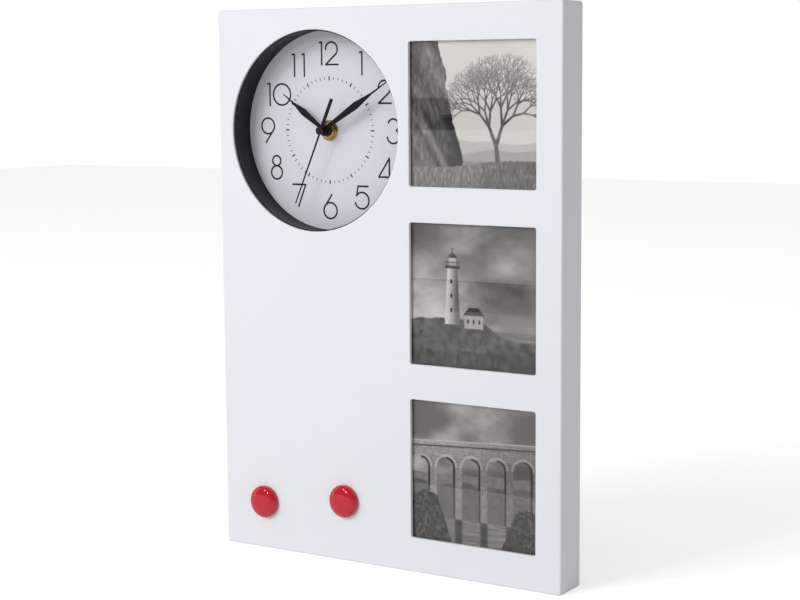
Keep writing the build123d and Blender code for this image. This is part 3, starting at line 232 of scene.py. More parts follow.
def turned_piece(name, centre, axis, profile, sides=96):
    """A solid turned about an axis through centre, from (radius, way along the axis) pairs."""
    turn = axis.to_track_quat("Z", "Y").to_euler()
    radius, way = profile[0]
    deselect()
    bpy.ops.mesh.primitive_circle_add(
        vertices=sides, radius=radius, fill_type="NGON", location=centre + axis * way, rotation=turn,
    )
    piece = bpy.context.object
    piece.name = piece.data.name = name
    apply_place(piece)
    bpy.ops.object.mode_set(mode="EDIT")
    bpy.ops.mesh.select_all(action="SELECT")
    for next_radius, next_way in profile[1:]:
        bpy.ops.mesh.extrude_region_move(TRANSFORM_OT_translate={"value": axis * (next_way - way)})
        share = next_radius / radius
        middle = centre + axis * next_way
        bpy.ops.transform.resize(value=(share, share, share), center_override=middle)
        radius, way = next_radius, next_way
    bpy.ops.mesh.select_all(action="SELECT")
    bpy.ops.mesh.normals_make_consistent(inside=False)
    bpy.ops.object.mode_set(mode="OBJECT")
    bpy.ops.object.shade_smooth_by_angle(angle=radians(35.0))
    return piece


def quarter_round(radius, way, rim, inward, steps=8):
    """Points of a rounded rim, from the outer wall to the face, for a turned profile."""
    points = []
    for n in range(steps + 1):
        turn = pi / 2 * n / steps
        points.append((radius - rim + rim * cos(turn), way + inward * rim * sin(turn)))
    return points


# Materials
def new_group(name, inputs, outputs):
    """An empty node group with named sockets."""
    group = bpy.data.node_groups.new(name, "ShaderNodeTree")
    for label, kind in inputs:
        group.interface.new_socket(name=label, in_out="INPUT", socket_type=kind)
    for label, kind in outputs:
        group.interface.new_socket(name=label, in_out="OUTPUT", socket_type=kind)
    return group, group.nodes.new("NodeGroupInput"), group.nodes.new("NodeGroupOutput")


def grain_group():
    """Fine grain with a slower unevenness: how high and how pale the surface is at a point."""
    if "Surface grain" in bpy.data.node_groups:
        return bpy.data.node_groups["Surface grain"]
    group, given, made = new_group(
        "Surface grain",
        [("Place", "NodeSocketVector"), ("Grain per metre", "NodeSocketFloat"),
         ("Patches per metre", "NodeSocketFloat")],
        [("Height", "NodeSocketFloat"), ("Tone", "NodeSocketFloat")],
    )
    fine = group.nodes.new("ShaderNodeTexNoise")
    fine.inputs["Detail"].default_value = 3.0
    fine.inputs["Roughness"].default_value = 0.6
    slow = group.nodes.new("ShaderNodeTexNoise")
    slow.inputs["Detail"].default_value = 2.0
    both = group.nodes.new("ShaderNodeMix")
    both.inputs[0].default_value = 0.4
    group.links.new(given.outputs["Place"], fine.inputs["Vector"])
    group.links.new(given.outputs["Grain per metre"], fine.inputs["Scale"])
    group.links.new(given.outputs["Place"], slow.inputs["Vector"])
    group.links.new(given.outputs["Patches per metre"], slow.inputs["Scale"])
    group.links.new(fine.outputs["Fac"], both.inputs[2])
    group.links.new(slow.outputs["Fac"], both.inputs[3])
    group.links.new(fine.outputs["Fac"], made.inputs["Height"])
    group.links.new(both.outputs[0], made.inputs["Tone"])
    return group


def tone_group():
    """A colour made darker and paler by a tone round one half."""
    if "Toned colour" in bpy.data.node_groups:
        return bpy.data.node_groups["Toned colour"]
    group, given, made = new_group(
        "Toned colour",
        [("Colour", "NodeSocketColor"), ("Tone", "NodeSocketFloat"), ("Spread", "NodeSocketFloat")],
        [("Colour", "NodeSocketColor")],
    )
    shift = group.nodes.new("ShaderNodeMath")
    shift.operation = "SUBTRACT"
    shift.inputs[1].default_value = 0.5
    amount = group.nodes.new("ShaderNodeMath")
    amount.operation = "MULTIPLY_ADD"
    amount.inputs[2].default_value = 1.0
    scaled = group.nodes.new("ShaderNodeVectorMath")
    scaled.operation = "SCALE"
    group.links.new(given.outputs["Tone"], shift.inputs[0])
    group.links.new(shift.outputs[0], amount.inputs[0])
    group.links.new(given.outputs["Spread"], amount.inputs[1])
    group.links.new(given.outputs["Colour"], scaled.inputs[0])
    group.links.new(amount.outputs[0], scaled.inputs["Scale"])
    group.links.new(scaled.outputs[0], made.inputs["Colour"])
    return group


def finish_material(name, colour, roughness, grain=0.4, patch=30.0, depth=0.01, spread=0.12, gloss=0.10,
                    stretch=(1.0, 1.0, 1.0), metallic=0.0, coat=0.0, specular=0.5):
    """A material with grain of that size and depth, in millimetres, and an uneven tone and gloss."""
    if name in bpy.data.materials:
        return bpy.data.materials[name]
    material = bpy.data.materials.new(name)
    material.use_nodes = True
    nodes, links = material.node_tree.nodes, material.node_tree.links
    shader = nodes["Principled BSDF"]
    shader.inputs["Metallic"].default_value = metallic
    shader.inputs["Coat Weight"].default_value = coat
    shader.inputs["Coat Roughness"].default_value = 0.06
    shader.inputs["Specular IOR Level"].default_value = specular
    place = nodes.new("ShaderNodeTexCoord")
    stretched = nodes.new("ShaderNodeMapping")
    stretched.inputs["Scale"].default_value = stretch
    grain_node = nodes.new("ShaderNodeGroup")
    grain_node.node_tree = grain_group()
    grain_node.inputs["Grain per metre"].default_value = 1.0 / (grain * MM)
    grain_node.inputs["Patches per metre"].default_value = 1.0 / (patch * MM)
    toned = nodes.new("ShaderNodeGroup")
    toned.node_tree = tone_group()
    toned.inputs["Colour"].default_value = (*colour, 1.0)
    toned.inputs["Spread"].default_value = spread
    rough = nodes.new("ShaderNodeMapRange")
    rough.inputs["To Min"].default_value = roughness - gloss
    rough.inputs["To Max"].default_value = roughness + gloss
    bump = nodes.new("ShaderNodeBump")
    bump.inputs["Distance"].default_value = depth * MM
    links.new(place.outputs["Object"], stretched.inputs["Vector"])
    links.new(stretched.outputs["Vector"], grain_node.inputs["Place"])
    links.new(grain_node.outputs["Tone"], toned.inputs["Tone"])
    links.new(toned.outputs["Colour"], shader.inputs["Base Color"])
    links.new(grain_node.outputs["Tone"], rough.inputs["Value"])
    links.new(rough.outputs["Result"], shader.inputs["Roughness"])
    links.new(grain_node.outputs["Height"], bump.inputs["Height"])
    links.new(bump.outputs["Normal"], shader.inputs["Normal"])
    return material


def turned_material(name, colour, centre, ring=0.22, depth=0.004):
    """Metal with the fine rings that a lathe leaves round an axis along Y."""
    if name in bpy.data.materials:
        return bpy.data.materials[name]
    material = finish_material(name, colour, 0.24, grain=0.6, patch=5.0, depth=depth, metallic=1.0)
    nodes, links = material.node_tree.nodes, material.node_tree.links
    place = nodes.new("ShaderNodeTexCoord")
    centred = nodes.new("ShaderNodeMapping")
    centred.inputs["Location"].default_value = -centre
    rings = nodes.new("ShaderNodeTexWave")
    rings.wave_type = "RINGS"
    rings.rings_direction = "Y"
    rings.inputs["Scale"].default_value = 1.0 / (ring * MM) / (2 * pi)
    rings.inputs["Distortion"].default_value = 0.4
    bump = nodes.new("ShaderNodeBump")
    bump.inputs["Distance"].default_value = depth * MM
    links.new(place.outputs["Object"], centred.inputs["Vector"])
    links.new(centred.outputs["Vector"], rings.inputs["Vector"])
    links.new(rings.outputs["Fac"], bump.inputs["Height"])
    links.new(bump.outputs["Normal"], nodes["Principled BSDF"].inputs["Normal"])
    return material


def white_moulding():
    grain = sizes().shell_grain / MM
    return finish_material(
        "White moulding", colours().shell, 0.42, grain=grain, patch=60.0, depth=0.012, spread=0.05, gloss=0.08,
    )


def black_moulding():
    return finish_material("Black moulding", colours().cup, 0.40, grain=0.5, patch=12.0, depth=0.006, specular=0.35)


def dial_card():
    return finish_material(
        "Dial card", colours().dial, 0.70, grain=0.25, patch=40.0, depth=0.004, spread=0.04, specular=0.3,
    )


def dial_ink():
    return finish_material("Dial ink", colours().ink, 0.55, grain=0.2, depth=0.002)


def hand_enamel():
    return finish_material("Hand enamel", colours().enamel, 0.45, grain=0.3, patch=8.0, depth=0.003, specular=0.25)


def turned_brass():
    low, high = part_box("brass_washer")
    return turned_material("Turned brass", colours().brass, (low + high) / 2)


def plain_steel():
    return finish_material(
        "Plain steel", colours().steel, 0.36, grain=0.5, patch=20.0, depth=0.004, metallic=1.0,
        stretch=(1.0, 1.0, 14.0),
    )


def bright_zinc():
    return finish_material("Bright zinc", colours().zinc, 0.24, grain=0.4, patch=3.0, depth=0.004, metallic=1.0)


def movement_moulding():
    return finish_material(
        "Movement moulding", colours().movement, 0.46, grain=0.45, patch=15.0, depth=0.014, spread=0.2,
    )


def gear_plastic():
    return finish_material("Gear plastic", colours().gear, 0.42, grain=0.4, patch=5.0, depth=0.004)


def soft_rubber():
    return finish_material("Soft rubber", colours().rubber, 0.66, grain=0.5, patch=6.0, depth=0.02, spread=0.3)


def hardboard():
    return finish_material(
        "Hardboard", colours().board, 0.72, grain=1.4, patch=14.0, depth=0.06, spread=0.55,
        stretch=(1.0, 1.0, 3.0),
    )


def laminate():
    return finish_material("Green laminate", colours().circuit, 0.30, grain=0.6, patch=4.0, depth=0.006, coat=0.3)


def copper_wire():
    return finish_material(
        "Copper wire", colours().copper, 0.30, grain=0.12, patch=3.0, depth=0.02, metallic=1.0,
        stretch=(1.0, 0.05, 0.05),
    )


def ferrite():
    return finish_material("Ferrite", (0.03, 0.03, 0.033), 0.62, grain=0.5, patch=4.0, depth=0.02)


def magnet_red():
    return finish_material(
        "Magnet red", colours().red, 0.14, grain=1.2, patch=9.0, depth=0.003, spread=0.10, gloss=0.03, coat=0.5,
    )


def clear_pane():
    """Clear glass that lets the lamps through to the prints."""
    if "Clear pane" in bpy.data.materials:
        return bpy.data.materials["Clear pane"]
    material = bpy.data.materials.new("Clear pane")
    material.use_nodes = True
    nodes, links = material.node_tree.nodes, material.node_tree.links
    shader = nodes["Principled BSDF"]
    shader.inputs["Base Color"].default_value = (0.97, 0.985, 0.98, 1.0)
    shader.inputs["Roughness"].default_value = 0.02
    shader.inputs["IOR"].default_value = 1.20
    shader.inputs["Transmission Weight"].default_value = 1.0
    shader.inputs["Specular IOR Level"].default_value = 0.25
    rays = nodes.new("ShaderNodeLightPath")
    dull = nodes.new("ShaderNodeMath")
    dull.operation = "MAXIMUM"
    clear = nodes.new("ShaderNodeBsdfTransparent")
    mix = nodes.new("ShaderNodeMixShader")
    links.new(rays.outputs["Is Shadow Ray"], dull.inputs[0])
    links.new(rays.outputs["Is Diffuse Ray"], dull.inputs[1])
    links.new(dull.outputs[0], mix.inputs["Fac"])
    links.new(shader.outputs["BSDF"], mix.inputs[1])
    links.new(clear.outputs["BSDF"], mix.inputs[2])
    links.new(mix.outputs["Shader"], nodes["Material Output"].inputs["Surface"])
    return material


def photo_paper():
    """Satin photo paper that shows the picture kept on the print's points."""
    if "Photo paper" in bpy.data.materials:
        return bpy.data.materials["Photo paper"]
    material = finish_material("Photo paper", (0.5, 0.5, 0.5), 0.45, grain=0.3, patch=20.0, depth=0.002, spread=0.05)
    nodes, links = material.node_tree.nodes, material.node_tree.links
    picture = nodes.new("ShaderNodeAttribute")
    picture.attribute_name = "picture"
    toned = next(node for node in nodes if node.type == "GROUP" and node.node_tree.name == "Toned colour")
    links.new(picture.outputs["Color"], toned.inputs["Colour"])
    return material


def battery_sleeve():
    """Plain sleeve with a band round the plus end and bare metal at both ends."""
    if "Battery sleeve" in bpy.data.materials:
        return bpy.data.materials["Battery sleeve"]
    low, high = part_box("battery")
    material = finish_material("Battery sleeve", colours().sleeve, 0.30, grain=0.4, depth=0.003, coat=0.4)
    nodes, links = material.node_tree.nodes, material.node_tree.links
    place = nodes.new("ShaderNodeTexCoord")
    split = nodes.new("ShaderNodeSeparateXYZ")
    along = nodes.new("ShaderNodeMapRange")
    along.inputs["From Min"].default_value = low.x
    along.inputs["From Max"].default_value = high.x
    ramp = nodes.new("ShaderNodeValToRGB")
    ramp.color_ramp.interpolation = "CONSTANT"
    stops = ramp.color_ramp.elements
    stops[0].position = 0.0
    stops[0].color = (*colours().zinc, 1.0)
    stops[1].position = 0.012
    stops[1].color = (*colours().sleeve, 1.0)
    band = stops.new(0.74)
    band.color = (*colours().sleeve_band, 1.0)
    end = stops.new(0.966)
    end.color = (*colours().zinc, 1.0)
    toned = next(node for node in nodes if node.type == "GROUP" and node.node_tree.name == "Toned colour")
    links.new(place.outputs["Object"], split.inputs["Vector"])
    links.new(split.outputs["X"], along.inputs["Value"])
    links.new(along.outputs["Result"], ramp.inputs["Fac"])
    links.new(ramp.outputs["Color"], toned.inputs["Colour"])
    return material


# Pictures on the prints: greys from 0 to 1 at places (u, v) of the window, both from 0 to 1
def lattice(x, y, seed):
    """Smooth noise on a unit lattice, from 0 to 1."""
    column, row = np.floor(x), np.floor(y)
    across, up = x - column, y - row
    across, up = across * across * (3 - 2 * across), up * up * (3 - 2 * up)

    def knot(i, j):
        value = np.sin((column + i) * 12.9898 + (row + j) * 78.233 + seed * 3.71) * 43758.5453
        return value - np.floor(value)

    low = knot(0, 0) * (1 - across) + knot(1, 0) * across
    high = knot(0, 1) * (1 - across) + knot(1, 1) * across
    return low * (1 - up) + high * up


def clouds(x, y, seed, octaves=5):
    """Layered noise, from 0 to 1 with a mean near one half."""
    total, weight, scale = 0.0, 0.0, 1.0
    for n in range(octaves):
        total = total + lattice(x * scale, y * scale, seed + n) / scale
        weight += 1.0 / scale
        scale *= 2.0
    return total / weight


def rise(value, start, end):
    """A smooth step from 0 at start to 1 at end."""
    share = np.clip((value - start) / (end - start), 0.0, 1.0)
    return share * share * (3 - 2 * share)


def inside(depth, soft=0.004):
    """How far a point is inside an edge, as a mask with a soft edge."""
    return np.clip(0.5 + depth / soft, 0.0, 1.0)


def over(ground, tone, mask):
    return ground * (1 - mask) + tone * mask


def branches(start, heading, length, width, depth, chance, found):
    """Collects the straight limbs of a tree, each (start, end, width at both ends)."""
    end = (start[0] + length * cos(heading), start[1] + length * sin(heading))
    found.append((start, end, width, width * 0.72))
    if depth == 0:
        return
    for side in (-1, 1):
        turn = heading + side * radians(chance.uniform(14, 36))
        branches(end, turn, length * chance.uniform(0.70, 0.86), width * 0.70, depth - 1, chance, found)
    if depth > 3 and chance.random() < 0.5:
        turn = heading + radians(chance.uniform(-10, 10))
        branches(end, turn, length * 0.8, width * 0.62, depth - 2, chance, found)


def winter_tree(u, v):
    """A bare tree on a rise of rough grass, with low hills in mist behind it."""
    picture = 0.80 + 0.05 * (clouds(u * 3, v * 2, 4) - 0.5) + 0.03 * v
    for reach, tone, seed in ((0.30, 0.72, 11), (0.24, 0.64, 12), (0.19, 0.55, 13)):
        ridge = reach + 0.09 * (clouds(u * 3 + seed, u * 0, seed) - 0.5)
        picture = over(picture, tone + 0.03 * clouds(u * 60, v * 60, seed), inside(ridge - v))
    face = 0.46 - 0.26 * v + 0.10 * (clouds(v * 5, v * 0 + 3.0, 15) - 0.5)
    strata = 0.40 + 0.42 * (clouds(u * 16 + v * 10, v * 3 - u * 2, 16) - 0.5) + 0.25 * (clouds(u * 60, v * 24, 17) - 0.5)
    picture = over(picture, strata - 0.22 * rise(u - face, -0.16, 0.0) * (v < 0.5), inside(face - u, 0.006))
    chance = random.Random(29)
    limbs = []
    branches((0.70, 0.10), radians(97), 0.19, 0.042, 9, chance, limbs)
    bark = 0.26 + 0.24 * clouds(u * 90, v * 34, 21)
    cover_mask = np.zeros_like(u)
    for (x0, y0), (x1, y1), w0, w1 in limbs:
        margin = max(w0, 0.01)
        near = (u > min(x0, x1) - margin) & (u < max(x0, x1) + margin)
        near &= (v > min(y0, y1) - margin) & (v < max(y0, y1) + margin)
        if not near.any():
            continue
        a, b = u[near] - x0, v[near] - y0
        dx, dy = x1 - x0, y1 - y0
        share = np.clip((a * dx + b * dy) / (dx * dx + dy * dy), 0.0, 1.0)
        gap = np.hypot(a - share * dx, b - share * dy)
        half = (w0 + (w1 - w0) * share) / 2
        cover_mask[near] = np.maximum(cover_mask[near], inside(half - gap, 0.0045))
    picture = over(picture, bark, cover_mask)
    ground = 0.13 + 0.05 * rise(u, 0.2, 0.8) + 0.016 * clouds(u * 70, u * 0, 31)
    grass = 0.34 + 0.36 * clouds(u * 120, v * 34, 32) - 0.10 * rise(u, 0.3, 0.9)
    return over(picture, grass, inside(ground - v))


def harbour_light(u, v):
    """A round stone light tower on a rocky point, under heavy clouds over the sea."""
    bank = clouds(u * 2.6 + 1.0, v * 4.2, 41, 6)
    picture = 0.40 + 0.62 * (bank - 0.38) + 0.26 * rise(0.75 - u, 0.0, 0.8) * rise(0.85 - v, 0.0, 0.6)
    picture = np.clip(picture, 0.34, 0.82)
    horizon = 0.27
    waves = 0.34 + 0.24 * clouds(u * 10, (horizon - v) * 90, 51) + 0.10 * rise(0.6 - u, 0.0, 0.6)
    picture = over(picture, waves, inside(horizon - v, 0.006))
    shore = 0.21 + 0.13 * rise(0.80 - u, 0.0, 0.30) * rise(u, -0.3, 0.1) + 0.03 * (clouds(u * 14, u * 0, 52) - 0.5)
    rock = 0.16 + 0.34 * clouds(u * 26, v * 30, 53)
    picture = over(picture, rock, inside(shore - v, 0.006))
    middle = 0.33
    low, top = 0.30, 0.70
    share = np.clip((v - low) / (top - low), 0.0, 1.0)
    half = 0.062 - 0.022 * share
    side = (u - middle) / half
    stone = 0.80 - 0.38 * rise(side, -0.9, 1.0) + 0.07 * (clouds(u * 80, v * 160, 61) - 0.5)
    courses = 0.05 * ((v * 44) % 1.0 < 0.12)
    picture = over(picture, stone - courses, inside(half - abs(u - middle)) * inside(v - low) * inside(top - v))
    for height in (0.40, 0.50, 0.60):
        slit = inside(0.007 - abs(u - middle + 0.01)) * inside(0.014 - abs(v - height))
        picture = over(picture, 0.16, slit)
    gallery = inside(0.058 - abs(u - middle)) * inside(0.009 - abs(v - top))
    rail = inside(0.058 - abs(u - middle)) * inside(0.0022 - abs(v - top - 0.034))
    posts = inside(0.0016 - abs((u - middle + 0.5 * 0.0145) % 0.0145 - 0.00725), 0.003)
    posts = posts * inside(0.058 - abs(u - middle)) * inside(0.017 - abs(v - top - 0.017))
    lantern = inside(0.028 - abs(u - middle)) * inside(0.032 - abs(v - top - 0.032))
    glow = 0.50 + 0.28 * (abs((u - middle) / 0.028 % 0.5 - 0.25) > 0.05)
    picture = over(picture, glow, lantern)
    picture = over(picture, 0.20, np.maximum(np.maximum(gallery, rail), posts * 0.8))
    dome = inside(0.036 - np.hypot(u - middle, (v - top - 0.064) * 1.15)) * inside(v - top - 0.064)
    picture = over(picture, 0.22 + 0.2 * rise(middle - u, -0.02, 0.04), dome)
    picture = over(picture, 0.18, inside(0.0025 - abs(u - middle)) * inside(0.022 - abs(v - top - 0.112)))
    wall = inside(0.075 - abs(u - 0.50)) * inside(v - 0.28) * inside(0.37 - v)
    picture = over(picture, 0.62 + 0.06 * clouds(u * 70, v * 70, 62), wall)
    roof = inside(0.088 - abs(u - 0.50) - 0.95 * np.maximum(v - 0.37, 0.0)) * inside(v - 0.37) * inside(0.425 - v)
    picture = over(picture, 0.24 + 0.08 * clouds(u * 40, v * 140, 63), roof)
    for place in (0.455, 0.50, 0.545):
        window = inside(0.008 - abs(u - place)) * inside(0.013 - abs(v - 0.328))
        picture = over(picture, 0.15, window)
    front = 0.10 + 0.05 * (clouds(u * 9, u * 0, 64) - 0.3)
    return over(picture, 0.12 + 0.30 * clouds(u * 40, v * 26, 65), inside(front - v, 0.006))


def stone_viaduct(u, v):
    """A stone railway viaduct over a river valley, with trees on both banks."""
    bank = clouds(u * 2.2 + 5.0, v * 3.4, 71, 6)
    picture = np.clip(0.48 + 0.9 * (bank - 0.42), 0.42, 0.80)
    for reach, tone, seed in ((0.50, 0.52, 81), (0.42, 0.44, 82)):
        ridge = reach + 0.16 * (clouds(u * 2.4 + seed, u * 0, seed) - 0.5)
        picture = over(picture, tone + 0.10 * (clouds(u * 46, v * 46, seed) - 0.5), inside(ridge - v, 0.006))
    lean = 0.05 * (u - 0.5)
    deck = 0.70 + lean
    pitch, opening = 0.205, 0.150
    cell = (u + 0.035) % pitch - pitch / 2
    spring = 0.545 + lean
    arch = np.where(v > spring, np.hypot(cell, v - spring), abs(cell))
    masonry = 0.60 + 0.16 * (clouds(u * 60, v * 60, 91) - 0.5) - 0.10 * rise(u, 0.2, 1.0)
    masonry = masonry - 0.07 * ((v * 52) % 1.0 < 0.16) - 0.05 * (((u * 34) + np.floor(v * 52) * 0.5) % 1.0 < 0.12)
    body = inside(deck - v) * inside(v - 0.12) * inside(arch - opening / 2)
    soffit = inside(arch - opening / 2 + 0.016) * inside(cell) * inside(deck - v) * inside(v - 0.12)
    picture = over(picture, 0.27 + 0.05 * clouds(u * 50, v * 90, 92), soffit)
    picture = over(picture, masonry, body)
    ring = inside(0.009 - abs(arch - opening / 2 - 0.009)) * inside(v - spring)
    picture = over(picture, 0.72 - 0.10 * rise(u, 0.2, 1.0), ring * 0.8)
    for edge, tone in ((0.0, 0.30), (0.034, 0.74)):
        picture = over(picture, tone, inside(0.006 - abs(v - deck - edge + 0.004)))
    parapet = inside(0.014 - abs(v - deck - 0.016))
    picture = over(picture, masonry + 0.04, parapet)
    river = 0.17
    ripple = 0.50 + 0.26 * (clouds(u * 8, v * 110, 93) - 0.5) - 0.22 * inside(arch - opening / 2, 0.02)
    picture = over(picture, ripple, inside(river - v, 0.006))
    for seed, reach, left, right in ((101, 0.33, -0.2, 0.34), (102, 0.30, 0.70, 1.3)):
        edge = rise(u, left, left + 0.16) * rise(right - u, 0.0, 0.16)
        crown = reach * edge + 0.10 * (clouds(u * 11, u * 0, seed) - 0.5) * edge
        leaves = 0.12 + 0.40 * clouds(u * 58, v * 58, seed, 4) ** 1.3
        mask = inside(crown - v + 0.05 * (clouds(u * 40, v * 40, seed + 5) - 0.5), 0.008)
        picture = over(picture, leaves, mask * rise(edge, 0.02, 0.10))
    return picture


PICTURES = {1: stone_viaduct, 2: harbour_light, 3: winter_tree}
PRINT_CELLS = 240
PANE_OVERLAP = 5.0 * MM
SHADOW_TINT = np.array((1.0, 0.945, 0.940))
LIGHT_TINT = np.array((1.0, 0.995, 0.965))


def printed_colours(greys):
    """Linear colours of warm black and white photo paper."""
    greys = np.clip(greys * 1.10 - 0.09, 0.09, 0.92)[:, None]
    display = greys * (SHADOW_TINT * (1 - greys) + LIGHT_TINT * greys)
    return ((display + 0.055) / 1.055) ** 2.4


def make_print(number, window_size):
    """A photo print as a fine sheet whose points hold its picture."""
    node = f"photo_print_{number}"
    low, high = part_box(node)
    middle = (low + high) / 2
    deselect()
    bpy.ops.mesh.primitive_grid_add(
        x_subdivisions=PRINT_CELLS, y_subdivisions=PRINT_CELLS, size=high.x - low.x,
        location=(middle.x, low.y, middle.z), rotation=(pi / 2, 0.0, 0.0),
    )
    piece = bpy.context.object
    piece.name = piece.data.name = f"picture_{number}"
    apply_place(piece)
    bpy.ops.object.mode_set(mode="EDIT")
    bpy.ops.mesh.select_all(action="SELECT")
    bpy.ops.mesh.region_to_loop()
    bpy.ops.mesh.extrude_edges_move(TRANSFORM_OT_translate={"value": (0.0, high.y - low.y, 0.0)})
    bpy.ops.mesh.edge_face_add()
    bpy.ops.mesh.select_all(action="SELECT")
    bpy.ops.mesh.normals_make_consistent(inside=False)
    bpy.ops.object.mode_set(mode="OBJECT")
    points = np.zeros(len(piece.data.vertices) * 3)
    piece.data.vertices.foreach_get("co", points)
    points = points.reshape(-1, 3)
    across = (points[:, 0] - middle.x) / window_size + 0.5
    up = (points[:, 2] - middle.z) / window_size + 0.5
    tones = np.ones((len(points), 4))
    tones[:, :3] = printed_colours(PICTURES[number](across, up))
    picture = piece.data.color_attributes.new("picture", "FLOAT_COLOR", "POINT")
    picture.data.foreach_set("color", tones.ravel())
    cover(piece, photo_paper())
    settle(piece, "root", node)


# Operators, one for each group of pieces
class CLOCK_OT_shell(bpy.types.Operator):
    """Gives the white shell, the steel sheet behind it and the panes their finishes"""
    bl_idname = "clock.shell"
    bl_label = "Shell and panes"

    def execute(self, context):
        cover(frame["nodes"]["front_shell"], white_moulding())
        cover(frame["nodes"]["magnet_plate"], plain_steel())
        cover(frame["nodes"]["photo_panes"], clear_pane())
        return {"FINISHED"}


class CLOCK_OT_dial(bpy.types.Operator):
    """Finishes the cup, the dial, its print and the brass parts under the hands"""
    bl_idname = "clock.dial"
    bl_label = "Dial and cup"

    def execute(self, context):
        nodes = frame["nodes"]
        rounded_copy("clock_cup", sizes().cup_edge, black_moulding())
        cover(nodes["dial"], dial_card())
        cover(nodes["minute_marks"], dial_ink())
        cover(nodes["dial_numerals"], dial_ink())
        cover(nodes["brass_washer"], turned_brass())
        rounded_copy("brass_nut", sizes().nut_edge, turned_brass())
        cover(nodes["rubber_washer"], soft_rubber())
        return {"FINISHED"}


class CLOCK_OT_hands(bpy.types.Operator):
    """Rounds and paints the three hands and the cap over their hubs"""
    bl_idname = "clock.hands"
    bl_label = "Hands"

    def execute(self, context):
        for node in ("hour_hand", "minute_hand", "second_hand"):
            rounded_copy(node, sizes().hand_edge, hand_enamel())
        cover(frame["nodes"]["second_hand_cap"], black_moulding())
        return {"FINISHED"}


class CLOCK_OT_prints(bpy.types.Operator):
    """Makes the three photo prints with their pictures"""
    bl_idname = "clock.prints"
    bl_label = "Photo prints"

    def execute(self, context):
        low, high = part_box("photo_panes")
        for number in PICTURES:
            make_print(number, high.x - low.x - 2 * PANE_OVERLAP)
        return {"FINISHED"}


DOME_STEPS = 18
DOME_FULLNESS = 0.84


class CLOCK_OT_magnets(bpy.types.Operator):
    """Turns the two domed magnet caps"""
    bl_idname = "clock.magnets"
    bl_label = "Magnets"

    def execute(self, context):
        wall = sizes().magnet_wall
        for side in ("left", "right"):
            node = f"magnet_cap_{side}"
            low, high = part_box(node)
            middle = (low + high) / 2
            foot = Vector((middle.x, high.y, middle.z))
            radius = (high.x - low.x) / 2
            height = high.y - low.y
            disc_low, disc_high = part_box(f"magnet_disc_{side}")
            bore = (disc_high.x - disc_low.x) / 2 + 0.1 * MM
            bore_depth = disc_high.y - disc_low.y + 0.1 * MM
            profile = [(bore * 0.02, bore_depth), (bore, bore_depth), (bore, 0.0), (radius - 0.3 * MM, 0.0)]
            profile += [(radius, 0.3 * MM)]
            for n in range(DOME_STEPS):
                turn = pi / 2 * n / DOME_STEPS
                out, rise_share = cos(turn) ** DOME_FULLNESS, sin(turn) ** DOME_FULLNESS
                profile.append((radius * out, wall + (height - wall) * rise_share))
            profile.append((radius * 0.02, height))
            piece = turned_piece(f"magnet_dome_{side}", foot, Vector((0.0, -1.0, 0.0)), profile)
            cover(piece, magnet_red())
            settle(piece, f"magnet_{side}", node)
            cover(frame["nodes"][f"magnet_disc_{side}"], ferrite())
        return {"FINISHED"}


class CLOCK_OT_movement(bpy.types.Operator):
    """Finishes the quartz movement, its train, its coil and the battery"""
    bl_idname = "clock.movement"
    bl_label = "Movement and battery"

    def execute(self, context):
        nodes = frame["nodes"]
        edge = sizes().mould_edge
        rounded_copy("movement_front_case", edge, movement_moulding())
        rounded_copy("movement_rear_case", edge, movement_moulding())
        rounded_copy("setting_knob", edge / 2, gear_plastic())
        for node, slot in SLOT_OF.items():
            if slot == "gear_plastic" and node != "setting_knob":
                cover(nodes[node], gear_plastic())
        for node in ("stator", "coil_core", "quartz_crystal", "seconds_shaft"):
            cover(nodes[node], plain_steel())
        for node in ("coil_bobbin", "circuit_chip"):
            cover(nodes[node], black_moulding())
        cover(nodes["minute_tube"], turned_brass())
        cover(nodes["coil_winding"], copper_wire())
        cover(nodes["stator_screws"], bright_zinc())
        cover(nodes["battery_contacts"], bright_zinc())
        cover(nodes["circuit_board"], laminate())
        cover(nodes["rotor_magnet"], ferrite())
        self.make_battery()
        return {"FINISHED"}

    def make_battery(self):
        low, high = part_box("battery")
        radius = (high.z - low.z) / 2
        middle = (low + high) / 2
        length = high.x - low.x
        rim = sizes().battery_rim
        nub_radius, nub_length = 2.75 * MM, 1.1 * MM
        dish = 0.35 * MM
        shoulder = length - nub_length
        profile = [(0.2 * MM, dish), (radius - 2.2 * rim, dish), (radius - 1.9 * rim, 0.0)]
        profile += [(x, way) for x, way in reversed(quarter_round(radius, rim, rim, -1.0))]
        profile += quarter_round(radius, shoulder - rim, rim, 1.0)
        profile += [(radius - 1.8 * rim, shoulder), (radius - 2.0 * rim, shoulder - dish)]
        profile += [(nub_radius + 1.1 * MM, shoulder - dish), (nub_radius + 0.5 * MM, shoulder)]
        profile += [(nub_radius, shoulder + dish / 2)]
        profile += quarter_round(nub_radius, length - dish, dish, 1.0, 4)
        profile.append((0.2 * MM, length))
        foot = Vector((low.x, middle.y, middle.z))
        piece = turned_piece("battery_cell", foot, Vector((1.0, 0.0, 0.0)), profile, 64)
        cover(piece, battery_sleeve())
        settle(piece, "battery", "battery")


class CLOCK_OT_back(bpy.types.Operator):
    """Finishes the boards, turn buttons, hangers, screws and bumpers on the back"""
    bl_idname = "clock.back"
    bl_label = "Back"

    def execute(self, context):
        nodes = frame["nodes"]
        for node in nodes:
            if node.startswith("turn_button_") and node != "turn_button_screws":
                rounded_copy(node, sizes().button_edge, black_moulding(), 3)
        rounded_copy("keyhole_hangers", sizes().plate_edge, bright_zinc())
        rounded_copy("backing_boards", sizes().plate_edge, hardboard())
        rounded_copy("wall_bumpers", sizes().bumper_edge, soft_rubber())
        for node in ("turn_button_screws", "hanger_screws", "cup_screws"):
            cover(nodes[node], bright_zinc())
        return {"FINISHED"}


